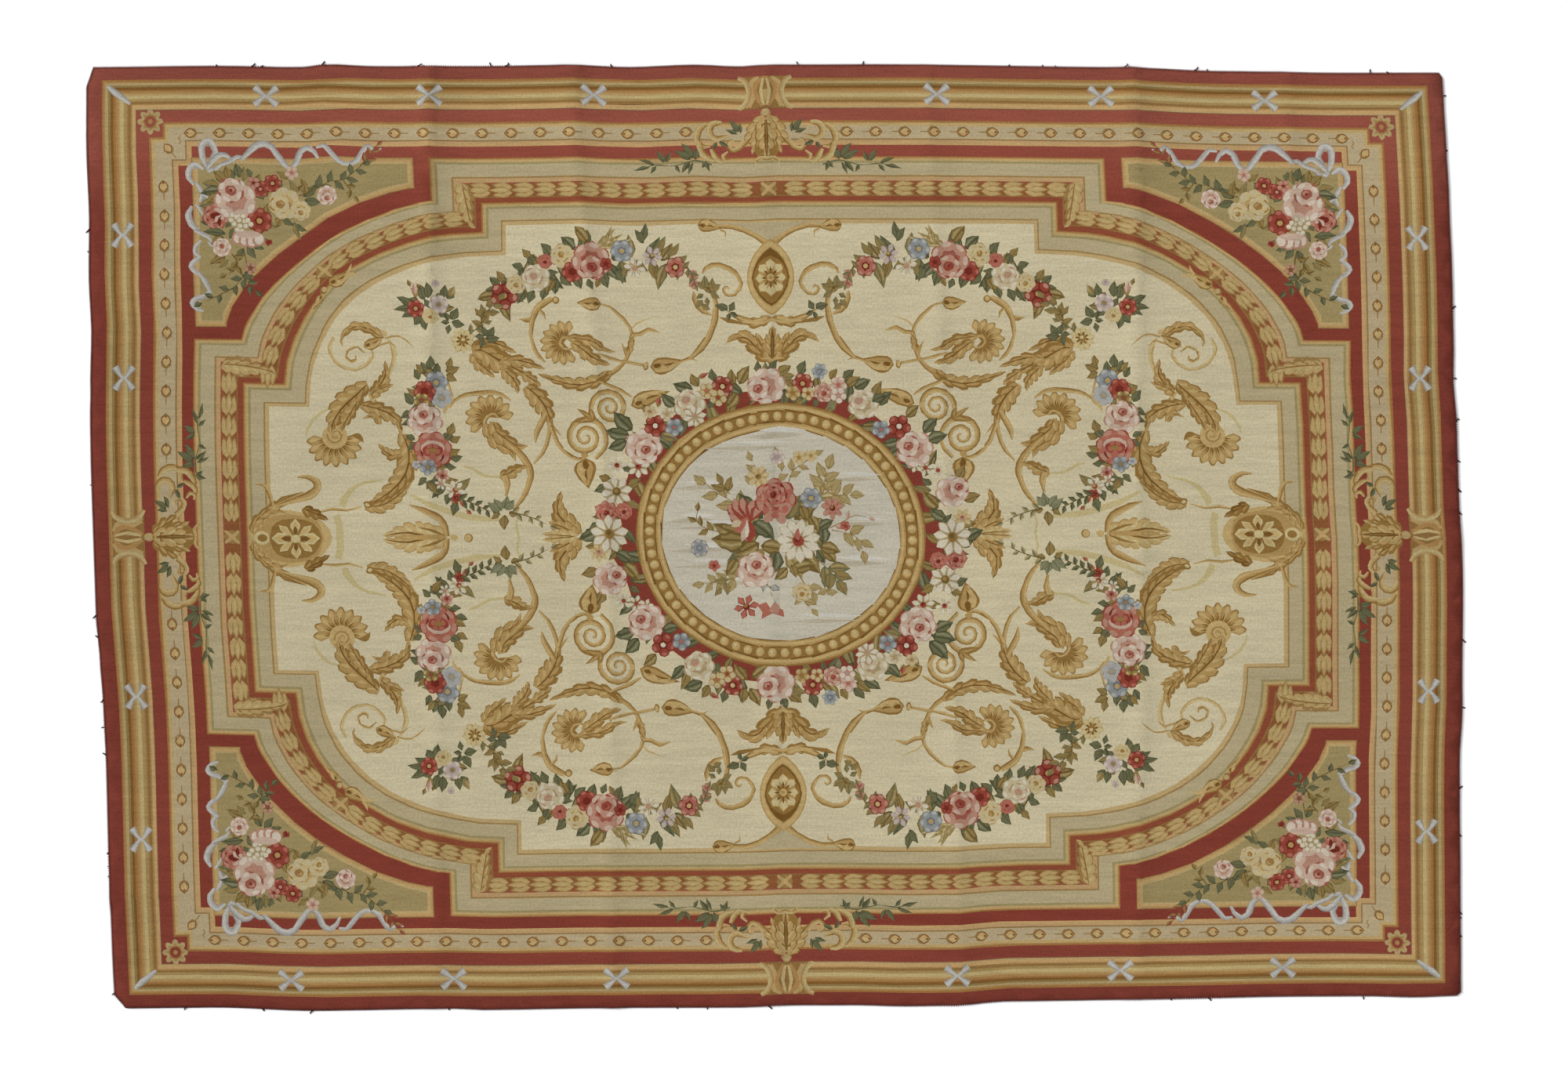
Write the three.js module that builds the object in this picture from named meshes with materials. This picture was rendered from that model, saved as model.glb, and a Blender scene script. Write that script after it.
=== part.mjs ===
import * as THREE from 'three';

// Aubusson rug: one tapestry-woven wool sheet that lies on a floor.
// Millimetres, +Z up. The origin is on the floor, under the middle of the rug's box.
// +X runs along the rug's length and +Y to its back edge.

// Size that the cloth was woven to. A place on the cloth is given by
// s, its distance from the left edge, and t, its distance from the back edge.
const clothLength = 2750;
const clothWidth = 1900;
const clothThickness = 4;

// Largest step between two grid lines of the sheet.
const columnStep = 80;
const rowStep = 85;

// Where the four corners lie. The rug is not quite square on the floor.
// cutAlong and cutDown are how much each worn corner has lost along its two edges.
const corners = {
  backLeft: { x: -1401, y: 957, cutAlong: 14, cutDown: 39 },
  backRight: { x: 1360, y: 945, cutAlong: 6, cutDown: 9 },
  frontLeft: { x: -1343, y: -959, cutAlong: 22, cutDown: 26 },
  frontRight: { x: 1398, y: -933, cutAlong: 6, cutDown: 6 },
};

// How far each edge wanders outwards from the straight line between its corners.
// at is the distance along the edge, from its left or back end.
const backEdge = [
  { at: 0, out: 0 },
  { at: 275, out: 3.5 },
  { at: 430, out: 1.5 },
  { at: 490, out: 8 },
  { at: 585, out: 4 },
  { at: 780, out: 5 },
  { at: 985, out: 8.5 },
  { at: 1095, out: 4.5 },
  { at: 1240, out: 10 },
  { at: 1320, out: 6.5 },
  { at: 1400, out: 11 },
  { at: 1625, out: 12.5 },
  { at: 2100, out: 8.5 },
  { at: 2305, out: 1.5 },
  { at: 2530, out: -1 },
  { at: 2750, out: 0 },
];
const frontEdge = [
  { at: 0, out: 0 },
  { at: 195, out: -0.5 },
  { at: 415, out: 8.5 },
  { at: 690, out: 6.5 },
  { at: 750, out: 10 },
  { at: 1020, out: 8.5 },
  { at: 1290, out: 10 },
  { at: 1365, out: 6.5 },
  { at: 1505, out: 7.5 },
  { at: 1620, out: 11 },
  { at: 1715, out: 10.5 },
  { at: 1820, out: 3 },
  { at: 2130, out: 1.5 },
  { at: 2400, out: -1.5 },
  { at: 2550, out: -1 },
  { at: 2660, out: 2.5 },
  { at: 2750, out: 0 },
];
const leftEdge = [
  { at: 0, out: 0 },
  { at: 180, out: 4.5 },
  { at: 290, out: 3 },
  { at: 435, out: 7.5 },
  { at: 525, out: 5.5 },
  { at: 650, out: 11 },
  { at: 720, out: 14 },
  { at: 810, out: 15 },
  { at: 1110, out: 14 },
  { at: 1190, out: 9 },
  { at: 1290, out: 4.5 },
  { at: 1405, out: 2.5 },
  { at: 1620, out: 3.5 },
  { at: 1775, out: 2 },
  { at: 1900, out: 0 },
];
const rightEdge = [
  { at: 0, out: 0 },
  { at: 70, out: 2 },
  { at: 140, out: 5 },
  { at: 260, out: 9 },
  { at: 430, out: 12 },
  { at: 570, out: 12 },
  { at: 635, out: 10 },
  { at: 720, out: 15 },
  { at: 850, out: 16 },
  { at: 1025, out: 21 },
  { at: 1300, out: 15 },
  { at: 1430, out: 6.5 },
  { at: 1565, out: 4.5 },
  { at: 1765, out: 2 },
  { at: 1900, out: 0 },
];

// Soft ridges left across the rug by its folds in storage, an eighth of its length apart.
// back, middle and front are s at the back edge, half way and at the front edge, and the
// three lifts are the ridge's height there. reach is how far each flank of a ridge spreads.
const foldRidges = [
  { back: 694, middle: 680, front: 664, backLift: 9, middleLift: 3.5, frontLift: 3, reach: 62 },
  { back: 987, middle: 1034, front: 1020, backLift: 6, middleLift: 2.5, frontLift: 4, reach: 58 },
  { back: 1391, middle: 1376, front: 1371, backLift: 5, middleLift: 4, frontLift: 3, reach: 55 },
  { back: 1706, middle: 1720, front: 1733, backLift: 3, middleLift: 2, frontLift: 2.5, reach: 50 },
  { back: 2125, middle: 2107, front: 2094, backLift: 8, middleLift: 3.5, frontLift: 4, reach: 62 },
  { back: 2434, middle: 2430, front: 2428, backLift: 4, middleLift: 0, frontLift: 0, reach: 60 },
];

// Short ripples that run in along the rug from a side edge. Each is highest at topS
// and has sunk to the floor at fromS and toS.
const sideRipples = [
  { t: 1676, fromS: -170, topS: 20, toS: 190, lift: 3.5, reach: 36 },
  { t: 958, fromS: 1930, topS: 2560, toS: 3100, lift: 4, reach: 48 },
];

// Smooth step from 0 to 1.
function ease(x) {
  const clamped = THREE.MathUtils.clamp(x, 0, 1);
  return clamped * clamped * (3 - 2 * clamped);
}

// How far an edge stands out at a distance along it.
function edgeOut(edge, at) {
  const next = edge.findIndex((row, index) => index > 0 && at <= row.at);
  const high = edge[next === -1 ? edge.length - 1 : next];
  const low = edge[(next === -1 ? edge.length - 1 : next) - 1];
  return low.out + (high.out - low.out) * ease((at - low.at) / (high.at - low.at));
}

// Point between two corners, with the straight line's outward wander added.
function edgePoint(start, end, edge, at, edgeLength, outward) {
  const share = at / edgeLength;
  const out = edgeOut(edge, at);
  return {
    x: start.x + (end.x - start.x) * share + outward.x * out,
    y: start.y + (end.y - start.y) * share + outward.y * out,
  };
}

// Where a place on the cloth lies on the floor: the four edges are blended over the sheet.
function floorPoint(s, t) {
  const { backLeft, backRight, frontLeft, frontRight } = corners;
  const across = s / clothLength;
  const down = t / clothWidth;
  const back = edgePoint(backLeft, backRight, backEdge, s, clothLength, { x: 0, y: 1 });
  const front = edgePoint(frontLeft, frontRight, frontEdge, s, clothLength, { x: 0, y: -1 });
  const left = edgePoint(backLeft, frontLeft, leftEdge, t, clothWidth, { x: -1, y: 0 });
  const right = edgePoint(backRight, frontRight, rightEdge, t, clothWidth, { x: 1, y: 0 });
  const blend = (axis) => {
    const lengthwise = (1 - down) * back[axis] + down * front[axis];
    const crosswise = (1 - across) * left[axis] + across * right[axis];
    const plain = (1 - down) * ((1 - across) * backLeft[axis] + across * backRight[axis])
      + down * ((1 - across) * frontLeft[axis] + across * frontRight[axis]);
    return lengthwise + crosswise - plain;
  };
  return { x: blend('x'), y: blend('y') };
}

// A value given at the back, middle and front of the cloth, eased between them.
function alongWidth(backValue, middleValue, frontValue, t) {
  const half = clothWidth / 2;
  return t < half
    ? backValue + (middleValue - backValue) * ease(t / half)
    : middleValue + (frontValue - middleValue) * ease((t - half) / half);
}

function ridgeS(ridge, t) {
  return alongWidth(ridge.back, ridge.middle, ridge.front, t);
}

// A crest with a crease at its top and flanks that run out level on the floor.
function crest(distance, reach) {
  return Math.max(0, 1 - Math.abs(distance) / reach) ** 2;
}

// Height of the cloth's underside over the floor.
function liftAt(s, t) {
  const ridges = foldRidges.map((ridge) => (
    alongWidth(ridge.backLift, ridge.middleLift, ridge.frontLift, t)
      * crest(s - ridgeS(ridge, t), ridge.reach)
  ));
  const ripples = sideRipples.map((ripple) => {
    const rise = ease((s - ripple.fromS) / (ripple.topS - ripple.fromS));
    const fall = ease((ripple.toS - s) / (ripple.toS - ripple.topS));
    return ripple.lift * rise * fall * crest(t - ripple.t, ripple.reach);
  });
  return Math.max(...ridges, ...ripples);
}

// Grid stations along one side: the marks given, and even steps between them.
function gridStations(marks, step) {
  const sorted = [...marks].sort((a, b) => a - b);
  const stations = [sorted[0]];
  sorted.slice(1).forEach((mark) => {
    const start = stations[stations.length - 1];
    const parts = Math.max(1, Math.ceil((mark - start) / step));
    for (let part = 1; part <= parts; part += 1) {
      stations.push(start + ((mark - start) * part) / parts);
    }
  });
  return stations;
}

// Columns stand on each ridge's crest, flanks and feet as it lies half way down the rug.
function columnStations() {
  const flankShare = 0.4;
  const ridgeMarks = foldRidges.flatMap(({ middle, reach }) => [
    middle - reach,
    middle - reach * flankShare,
    middle,
    middle + reach * flankShare,
    middle + reach,
  ]);
  const leftMark = corners.frontLeft.cutAlong;
  const rightMark = clothLength - corners.backRight.cutAlong;
  return gridStations([0, leftMark, ...ridgeMarks, rightMark, clothLength], columnStep);
}

function rowStations() {
  const rippleMarks = sideRipples.flatMap(({ t, reach }) => [t - reach, t, t + reach]);
  const backMark = corners.backLeft.cutDown;
  const frontMark = clothWidth - corners.frontLeft.cutDown;
  return gridStations([0, backMark, ...rippleMarks, frontMark, clothWidth], rowStep);
}

// A column moves sideways with the ridges on both sides of it, so that crests stay sharp.
function columnS(station, t) {
  const anchors = [
    { station: 0, shift: 0 },
    ...foldRidges.map((ridge) => ({
      station: ridge.middle,
      shift: ridgeS(ridge, t) - ridge.middle,
    })),
    { station: clothLength, shift: 0 },
  ];
  const next = Math.max(1, anchors.findIndex((anchor) => station <= anchor.station));
  const low = anchors[next - 1];
  const high = anchors[next];
  const share = (station - low.station) / (high.station - low.station);
  return station + low.shift + (high.shift - low.shift) * share;
}

// A grid point that falls in a worn corner's missing triangle moves in to the cut line.
function trimCorner(s, t) {
  const fromLeft = s < clothLength / 2;
  const fromBack = t < clothWidth / 2;
  const corner = corners[(fromBack ? 'back' : 'front') + (fromLeft ? 'Left' : 'Right')];
  const along = fromLeft ? s : clothLength - s;
  const down = fromBack ? t : clothWidth - t;
  const inside = along / corner.cutAlong + down / corner.cutDown;
  if (inside >= 1) {
    return { s, t };
  }
  const moveAlong = ((1 - inside) * corner.cutAlong) / 2;
  const moveDown = ((1 - inside) * corner.cutDown) / 2;
  return {
    s: fromLeft ? s + moveAlong : s - moveAlong,
    t: fromBack ? t + moveDown : t - moveDown,
  };
}

// Closed sheet of even thickness: a top face, an underside and the rim between them.
function sheetGeometry() {
  const columns = columnStations();
  const rows = rowStations();
  const positions = [];
  const faceSize = columns.length * rows.length;
  [clothThickness, 0].forEach((height) => {
    rows.forEach((rowT) => {
      columns.forEach((station) => {
        const { s, t } = trimCorner(columnS(station, rowT), rowT);
        const { x, y } = floorPoint(s, t);
        positions.push(x, y, liftAt(s, t) + height);
      });
    });
  });

  const top = (column, row) => row * columns.length + column;
  const under = (column, row) => faceSize + top(column, row);
  const triangles = [];
  const quad = (a, b, c, d) => triangles.push(a, b, c, a, c, d);
  for (let row = 0; row < rows.length - 1; row += 1) {
    for (let column = 0; column < columns.length - 1; column += 1) {
      // The diagonal of a cell runs towards the nearest corner of the rug.
      const leans = (column < columns.length / 2) === (row < rows.length / 2);
      const ring = [[column, row], [column, row + 1], [column + 1, row + 1], [column + 1, row]];
      const [a, b, c, d] = leans ? ring : [ring[1], ring[2], ring[3], ring[0]];
      quad(top(...a), top(...b), top(...c), top(...d));
      quad(under(...a), under(...d), under(...c), under(...b));
    }
  }
  const lastColumn = columns.length - 1;
  const lastRow = rows.length - 1;
  const wall = (from, to) => quad(top(...from), top(...to), under(...to), under(...from));
  for (let column = 0; column < lastColumn; column += 1) {
    wall([column, 0], [column + 1, 0]);
    wall([column + 1, lastRow], [column, lastRow]);
  }
  for (let row = 0; row < lastRow; row += 1) {
    wall([0, row + 1], [0, row]);
    wall([lastColumn, row], [lastColumn, row + 1]);
  }

  const geometry = new THREE.BufferGeometry();
  geometry.setAttribute('position', new THREE.Float32BufferAttribute(positions, 3));
  geometry.setIndex(triangles);
  geometry.computeBoundingBox();
  const middle = geometry.boundingBox.getCenter(new THREE.Vector3());
  geometry.translate(-middle.x, -middle.y, 0);
  geometry.computeVertexNormals();
  return geometry;
}

const woolWeave = new THREE.MeshStandardMaterial({
  color: 0xcbbf98,
  roughness: 0.95,
  metalness: 0,
});

const wovenRug = new THREE.Mesh(sheetGeometry(), woolWeave);
wovenRug.name = 'woven_rug';

const rug = new THREE.Group();
rug.add(wovenRug);

export default rug;
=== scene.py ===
import math
import bpy
import numpy as np
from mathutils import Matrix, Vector
from mathutils.geometry import delaunay_2d_cdt


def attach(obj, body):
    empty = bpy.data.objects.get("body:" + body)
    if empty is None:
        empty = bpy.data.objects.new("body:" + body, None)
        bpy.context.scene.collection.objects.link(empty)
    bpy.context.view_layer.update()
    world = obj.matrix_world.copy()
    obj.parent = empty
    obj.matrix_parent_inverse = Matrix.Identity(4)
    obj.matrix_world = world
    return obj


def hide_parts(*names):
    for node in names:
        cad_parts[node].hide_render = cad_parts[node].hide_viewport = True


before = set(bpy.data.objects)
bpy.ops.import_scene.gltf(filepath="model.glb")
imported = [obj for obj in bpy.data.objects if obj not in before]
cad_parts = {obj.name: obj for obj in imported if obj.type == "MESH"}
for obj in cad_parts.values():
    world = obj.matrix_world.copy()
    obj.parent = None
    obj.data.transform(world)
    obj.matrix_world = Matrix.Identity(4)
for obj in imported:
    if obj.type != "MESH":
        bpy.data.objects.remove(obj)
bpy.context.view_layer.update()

# Aubusson rug. Lengths are millimetres until a mesh is made, then metres.
# The pattern is drawn on the flat cloth: u to the right and v to the back, from the rug's middle.
# Most of it is drawn once, in the quarter where u and v are both positive, and mirrored.
scene = bpy.context.scene
mm = 0.001

# Camera, straight above the rug
cameraPlan = {"height": 3.4, "lens": 38.25, "sensor": 36.0, "overX": 0.0192, "overY": 0.0018}
cameraData = bpy.data.cameras.new("roomCamera")
cameraData.lens = cameraPlan["lens"]
cameraData.sensor_width = cameraPlan["sensor"]
camera = bpy.data.objects.new("roomCamera", cameraData)
camera.location = (cameraPlan["overX"], cameraPlan["overY"], cameraPlan["height"])
scene.collection.objects.link(camera)
scene.camera = camera
print("camera placed")

# How the cloth lies on the floor
cloth = {"length": 2750.0, "width": 1900.0, "thickness": 4.0, "rimSwell": 1.2, "floorGap": 0.05}
corners = {
    "backLeft": {"at": (-1401, 957), "cut": (14, 39)},
    "backRight": {"at": (1360, 945), "cut": (6, 9)},
    "frontLeft": {"at": (-1343, -959), "cut": (22, 26)},
    "frontRight": {"at": (1398, -933), "cut": (6, 6)},
}
# Distance along the edge, and how far it wanders outwards there
edges = {
    "back": [(0, 0), (275, 3.5), (430, 1.5), (490, 8), (585, 4), (780, 5), (985, 8.5), (1095, 4.5),
             (1240, 10), (1320, 6.5), (1400, 11), (1625, 12.5), (2100, 8.5), (2305, 1.5),
             (2530, -1), (2750, 0)],
    "front": [(0, 0), (195, -0.5), (415, 8.5), (690, 6.5), (750, 10), (1020, 8.5), (1290, 10),
              (1365, 6.5), (1505, 7.5), (1620, 11), (1715, 10.5), (1820, 3), (2130, 1.5),
              (2400, -1.5), (2550, -1), (2660, 2.5), (2750, 0)],
    "left": [(0, 0), (180, 4.5), (290, 3), (435, 7.5), (525, 5.5), (650, 11), (720, 14), (810, 15),
             (1110, 14), (1190, 9), (1290, 4.5), (1405, 2.5), (1620, 3.5), (1775, 2), (1900, 0)],
    "right": [(0, 0), (70, 2), (140, 5), (260, 9), (430, 12), (570, 12), (635, 10), (720, 15),
              (850, 16), (1025, 21), (1300, 15), (1430, 6.5), (1565, 4.5), (1765, 2), (1900, 0)],
}
# Fold ridges: where each crosses the back, middle and front, its lift there, and its reach
ridges = [
    {"s": (694, 680, 664), "lift": (9, 3.5, 3), "reach": 62, "notch": 0},
    {"s": (987, 1034, 1020), "lift": (6, 3.2, 4), "reach": 58, "notch": 0},
    {"s": (1391, 1376, 1371), "lift": (5, 4, 3), "reach": 90, "notch": 0.9},
    {"s": (1706, 1720, 1733), "lift": (3, 2.6, 2.5), "reach": 50, "notch": 0},
    {"s": (2125, 2107, 2094), "lift": (8, 3.5, 4), "reach": 62, "notch": 0},
    {"s": (2434, 2430, 2428), "lift": (4, 0, 0), "reach": 60, "notch": 0},
]
# On its right a ridge reaches this share as far, and a notch this share of its ridge
foldShape = {"steeper": 0.55, "notchReach": 0.4}
ripples = [
    {"t": 1676, "fromS": -170, "topS": 20, "toS": 190, "lift": 3.5, "reach": 36},
    {"t": 958, "fromS": 1930, "topS": 2560, "toS": 3100, "lift": 4, "reach": 48},
]


def ease(x):
    x = np.clip(x, 0, 1)
    return x * x * (3 - 2 * x)


def edgeOut(rows, at):
    ats, outs = np.array(rows, float).T
    high = np.clip(np.searchsorted(ats, at), 1, len(ats) - 1)
    share = ease((at - ats[high - 1]) / (ats[high] - ats[high - 1]))
    return outs[high - 1] + (outs[high] - outs[high - 1]) * share


def floorPlace(s, t):
    # The four edges are blended over the sheet
    across, down = (s / cloth["length"])[:, None], (t / cloth["width"])[:, None]
    corner = {name: np.array(place["at"], float) for name, place in corners.items()}
    backLeft, backRight = corner["backLeft"], corner["backRight"]
    frontLeft, frontRight = corner["frontLeft"], corner["frontRight"]
    back = backLeft + (backRight - backLeft) * across
    back = back + np.outer(edgeOut(edges["back"], s), (0, 1))
    front = frontLeft + (frontRight - frontLeft) * across
    front = front + np.outer(edgeOut(edges["front"], s), (0, -1))
    left = backLeft + (frontLeft - backLeft) * down
    left = left + np.outer(edgeOut(edges["left"], t), (-1, 0))
    right = backRight + (frontRight - backRight) * down
    right = right + np.outer(edgeOut(edges["right"], t), (1, 0))
    plain = ((1 - down) * ((1 - across) * backLeft + across * backRight)
             + down * ((1 - across) * frontLeft + across * frontRight))
    return (1 - down) * back + down * front + (1 - across) * left + across * right - plain


def alongWidth(values, t):
    half = cloth["width"] / 2
    back, middle, front = values
    return np.where(t < half, back + (middle - back) * ease(t / half),
                    middle + (front - middle) * ease((t - half) / half))


def crest(distance, reach):
    # A ridge falls off more steeply on its right
    share = np.where(distance > 0, foldShape["steeper"], 1)
    return np.maximum(0, 1 - np.abs(distance) / (reach * share)) ** 2


def liftAt(s, t):
    lift = np.zeros_like(s)
    for ridge in ridges:
        distance, reach = s - alongWidth(ridge["s"], t), ridge["reach"]
        shape = crest(distance, reach) - ridge["notch"] * crest(-distance, reach * foldShape["notchReach"])
        height = alongWidth(ridge["lift"], t) * shape
        lift = np.maximum(lift, height)
    for ripple in ripples:
        rise = ease((s - ripple["fromS"]) / (ripple["topS"] - ripple["fromS"]))
        fall = ease((ripple["toS"] - s) / (ripple["toS"] - ripple["topS"]))
        height = ripple["lift"] * rise * fall * crest(t - ripple["t"], ripple["reach"])
        lift = np.maximum(lift, height)
    return lift


# Yarn colours, as they look in the room's light, in ordinary 0 to 255 tones
yarns = {
    "edgeRed": (127, 61, 50), "bandRed": (137, 67, 54), "groundRed": (134, 63, 50),
    "outerOchre": (150, 108, 61), "railPale": (168, 147, 103), "railOlive": (137, 115, 71),
    "railBrown": (122, 86, 43), "railOchre": (161, 125, 77), "railGold": (172, 143, 94),
    "railLight": (181, 162, 114), "railShade": (160, 133, 84), "lowBrown": (136, 103, 59),
    "rimOchre": (184, 151, 102), "rimDark": (128, 84, 60), "budBeige": (175, 158, 124),
    "budRim": (181, 154, 104), "lineBrown": (142, 114, 72),
    "tan": (179, 147, 104), "frameOchre": (174, 141, 91), "framePale": (177, 154, 106),
    "frameOlive": (150, 136, 94), "frameBeige": (173, 159, 124), "frameLine": (148, 120, 74),
    "laurelLeaf": (176, 150, 100), "laurelShade": (146, 116, 70),
    "laurelGround": (132, 84, 50), "laurelRed": (134, 72, 50), "lineRed": (143, 82, 60),
    "innerTan": (180, 155, 108), "field": (198, 187, 154), "khaki": (152, 135, 92),
    "medallion": (190, 183, 164), "medallionShade": (177, 167, 145), "medallionLight": (198, 194, 181),
    "goldPale": (191, 175, 129), "goldLight": (184, 158, 106), "goldMid": (168, 138, 86),
    "goldDark": (138, 106, 56), "goldDeep": (114, 82, 38), "mistGold": (186, 171, 124),
    "leafDark": (78, 78, 54), "leafMid": (102, 101, 72), "leafLight": (127, 126, 97),
    "oliveDark": (106, 87, 48), "oliveMid": (137, 116, 70), "oliveLight": (160, 142, 98),
    "rosePale": (200, 186, 168), "roseLight": (187, 162, 143), "roseMid": (170, 128, 108),
    "roseDeep": (147, 87, 71), "roseHeart": (121, 52, 42), "redLight": (163, 99, 82),
    "redMid": (139, 66, 52), "redDark": (109, 43, 33), "whiteYarn": (199, 190, 168),
    "creamYarn": (184, 170, 137), "creamShade": (160, 142, 106), "yellowLight": (186, 168, 124),
    "yellowMid": (171, 144, 95), "yellowDark": (146, 113, 62), "blueLight": (164, 164, 158),
    "blueMid": (136, 139, 137), "blueDark": (106, 111, 110), "lilacLight": (178, 163, 152),
    "lilacMid": (156, 138, 130), "ribbonLight": (182, 179, 170), "ribbonMid": (164, 160, 153),
    "ribbonShade": (137, 133, 129),
}
yarnNames = list(yarns)

# Outlines in the order that they are laid over each other, each with its yarn
drawn = []
copying = {"way": "quarter"}
copyWays = {
    "quarter": ((1, 1), (-1, 1), (1, -1), (-1, -1)),
    "ends": ((1, 1), (1, -1)),
    "turned": ((1, 1), (-1, -1)),
    "once": ((1, 1),),
}
smallest = 7.5  # smaller outlines are left out


def lay(outline, yarn):
    outline = np.asarray(outline, float)
    if np.hypot(*np.ptp(outline, axis=0)) < smallest:
        return
    for across, along in copyWays[copying["way"]]:
        drawn.append((outline * (across, along), yarnNames.index(yarn)))


def smoothPath(points, step=6.0, closed=False):
    p = np.asarray(points, float)
    if closed:
        p = np.vstack([p[-1], p, p[0], p[1]])
    else:
        p = np.vstack([2 * p[0] - p[1], p, 2 * p[-1] - p[-2]])
    parts = []
    for a, b, c, d in zip(p, p[1:], p[2:], p[3:]):
        count = max(1, math.ceil(np.linalg.norm(c - b) / step))
        x = (np.arange(count) / count)[:, None]
        parts.append(0.5 * (2 * b + x * (c - a) + x ** 2 * (2 * a - 5 * b + 4 * c - d)
                            + x ** 3 * (3 * b - a - 3 * c + d)))
    if not closed:
        parts.append(p[-2][None])
    return np.vstack(parts)


def normals(line):
    tangent = np.gradient(line, axis=0)
    length = np.maximum(np.linalg.norm(tangent, axis=1), 1e-6)[:, None]
    return np.column_stack([-tangent[:, 1], tangent[:, 0]]) / length


def lengthsAlong(line):
    return np.concatenate([[0], np.cumsum(np.linalg.norm(np.diff(line, axis=0), axis=1))])


def towards(angle, alongU=1.0, alongV=1.0):
    return np.array([math.cos(angle) * alongU, math.sin(angle) * alongV])


def stroke(points, widths, yarn, shift=0.0, step=6.5):
    # A line of changing width; shift moves it sideways by a share of that width
    line = smoothPath(points, step)
    travelled = lengthsAlong(line)
    share = travelled / travelled[-1]
    width = np.interp(share, np.linspace(0, 1, len(widths)), widths)[:, None]
    side = normals(line)
    middle = line + side * width * shift
    lay(np.vstack([middle + side * width / 2, (middle - side * width / 2)[::-1]]), yarn)


def scaled(widths, share):
    return [width * share for width in widths]


def oval(u, v, radiusU, radiusV=None, turn=0.0, count=None, lobes=0, depth=0.0):
    radiusV = radiusU if radiusV is None else radiusV
    count = count or int(np.clip(radiusU * 0.9, 7, 26))
    angle = np.arange(count) / count * 2 * math.pi
    swell = 1 - depth * (1 - np.abs(np.sin(lobes * angle / 2))) if lobes else 1
    x, y = radiusU * np.cos(angle) * swell, radiusV * np.sin(angle) * swell
    cosTurn, sinTurn = math.cos(turn), math.sin(turn)
    return np.column_stack([u + x * cosTurn - y * sinTurn, v + x * sinTurn + y * cosTurn])


def bladeSides(base, tip, width, bend=0.0, belly=0.75, count=6):
    # The two sides and the middle of a pointed blade; belly under 1 is widest near the base
    base, tip = np.asarray(base, float), np.asarray(tip, float)
    along = tip - base
    across = np.array([-along[1], along[0]])
    t = np.linspace(0, 1, count + 1)
    middle = base + np.outer(t, along) + np.outer(bend * 4 * t * (1 - t), across)
    half = np.outer(width / 2 * np.sin(math.pi * t ** belly), across / max(np.hypot(*across), 1e-6))
    return middle + half, middle, middle - half


def blade(base, tip, width, yarn, bend=0.0, belly=0.75, count=6):
    left, middle, right = bladeSides(base, tip, width, bend, belly, count)
    lay(np.vstack([left, right[-2:0:-1]]), yarn)


leafCut = {"wider": 1.42, "longer": 1.12, "widest": 0.62, "teeth": (1, 1, 0.92, 1.06, 0.84, 1.04, 0.8, 1),
           "lowHalfFrom": 12, "veinFrom": 22}
overSize = {"rose": 1.12, "daisy": 1.1, "blossom": 1.16, "husk": 1.2}  # closes the gaps between flowers
paleTipsFrom = {"rose": 20, "blossom": 15}  # smaller flowers have no pale tips


def leaf(base, tip, width, tones, bend=0.05):
    # A toothed leaf: dark outline, two unequal halves and a pale vein
    dark, light, vein = tones
    base, tip = np.asarray(base, float), np.asarray(tip, float)
    tip = base + (tip - base) * leafCut["longer"]
    width = min(width * leafCut["wider"], np.hypot(*(tip - base)) * leafCut["widest"])
    left, middle, right = bladeSides(base, tip, width, bend, 0.8, 7)
    teeth = np.array(leafCut["teeth"])[:, None]
    left, right = middle + (left - middle) * teeth, middle + (right - middle) * teeth
    lay(np.vstack([left, right[-2:0:-1]]), dark)
    lit = middle + (left - middle) * 0.78
    lay(np.vstack([lit[1:-1], middle[-1:0:-1]]), light)
    if width > leafCut["lowHalfFrom"]:
        low = middle + (right - middle) * 0.72
        lay(np.vstack([(middle + (right - middle) * 0.3)[1:-2], low[-3:0:-1]]), light)
    if width > leafCut["veinFrom"]:
        near = middle + (left - middle) * 0.2
        lay(np.vstack([(middle + (left - middle) * 0.5)[1:-2], near[-3:0:-1]]), vein)


greens = ("leafDark", "leafMid", "leafLight")
olives = ("oliveDark", "oliveMid", "oliveLight")
mixedLeaf = ("leafMid", "oliveMid", "oliveLight")
paleLeaf = ("oliveMid", "oliveLight", "goldPale")
golds = ("goldDark", "goldMid", "goldLight")
paleGolds = ("goldMid", "goldLight", "goldPale")
railGolds = ("goldDark", "railGold", "railLight")
daisyTone = ("creamShade", "whiteYarn")
redHeart = ("redMid", "redDark")


def leaves(table, tones):
    for *ends, width in table:
        leaf(ends[:2], ends[2:], width, tones)


def headingAt(line, share):
    k = min(int(share * (len(line) - 1)), len(line) - 2)
    step = line[k + 1] - line[k]
    return line[k], math.atan2(step[1], step[0])


def sprig(points, size, tones=mixedLeaf, pairs=3, first=0.3, spread=0.85, stem="oliveDark"):
    stroke(points, (2.4, 1.6), stem, step=9)
    line = smoothPath(points, 3)
    for k in range(pairs):
        for side in (-1, 1):
            share = first + (1 - first) * (k + 0.25 * side) / pairs
            place, heading = headingAt(line, max(share, 0))
            reach = size * (1 - 0.25 * k / pairs)
            turn = heading + side * spread
            leaf(place, place + reach * towards(turn), reach * 0.42, tones)
    place, heading = headingAt(line, 1)
    leaf(line[-1], line[-1] + size * 0.8 * towards(heading), size * 0.36, tones)


def petals(u, v, count, out, sizeU, sizeV, yarn, turn=0.0, points=8):
    for k in range(count):
        angle = turn + (k + 0.5) * 2 * math.pi / count
        lay(oval(u + math.cos(angle) * out, v + math.sin(angle) * out, sizeV, sizeU, angle, points),
            yarn)


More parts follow.
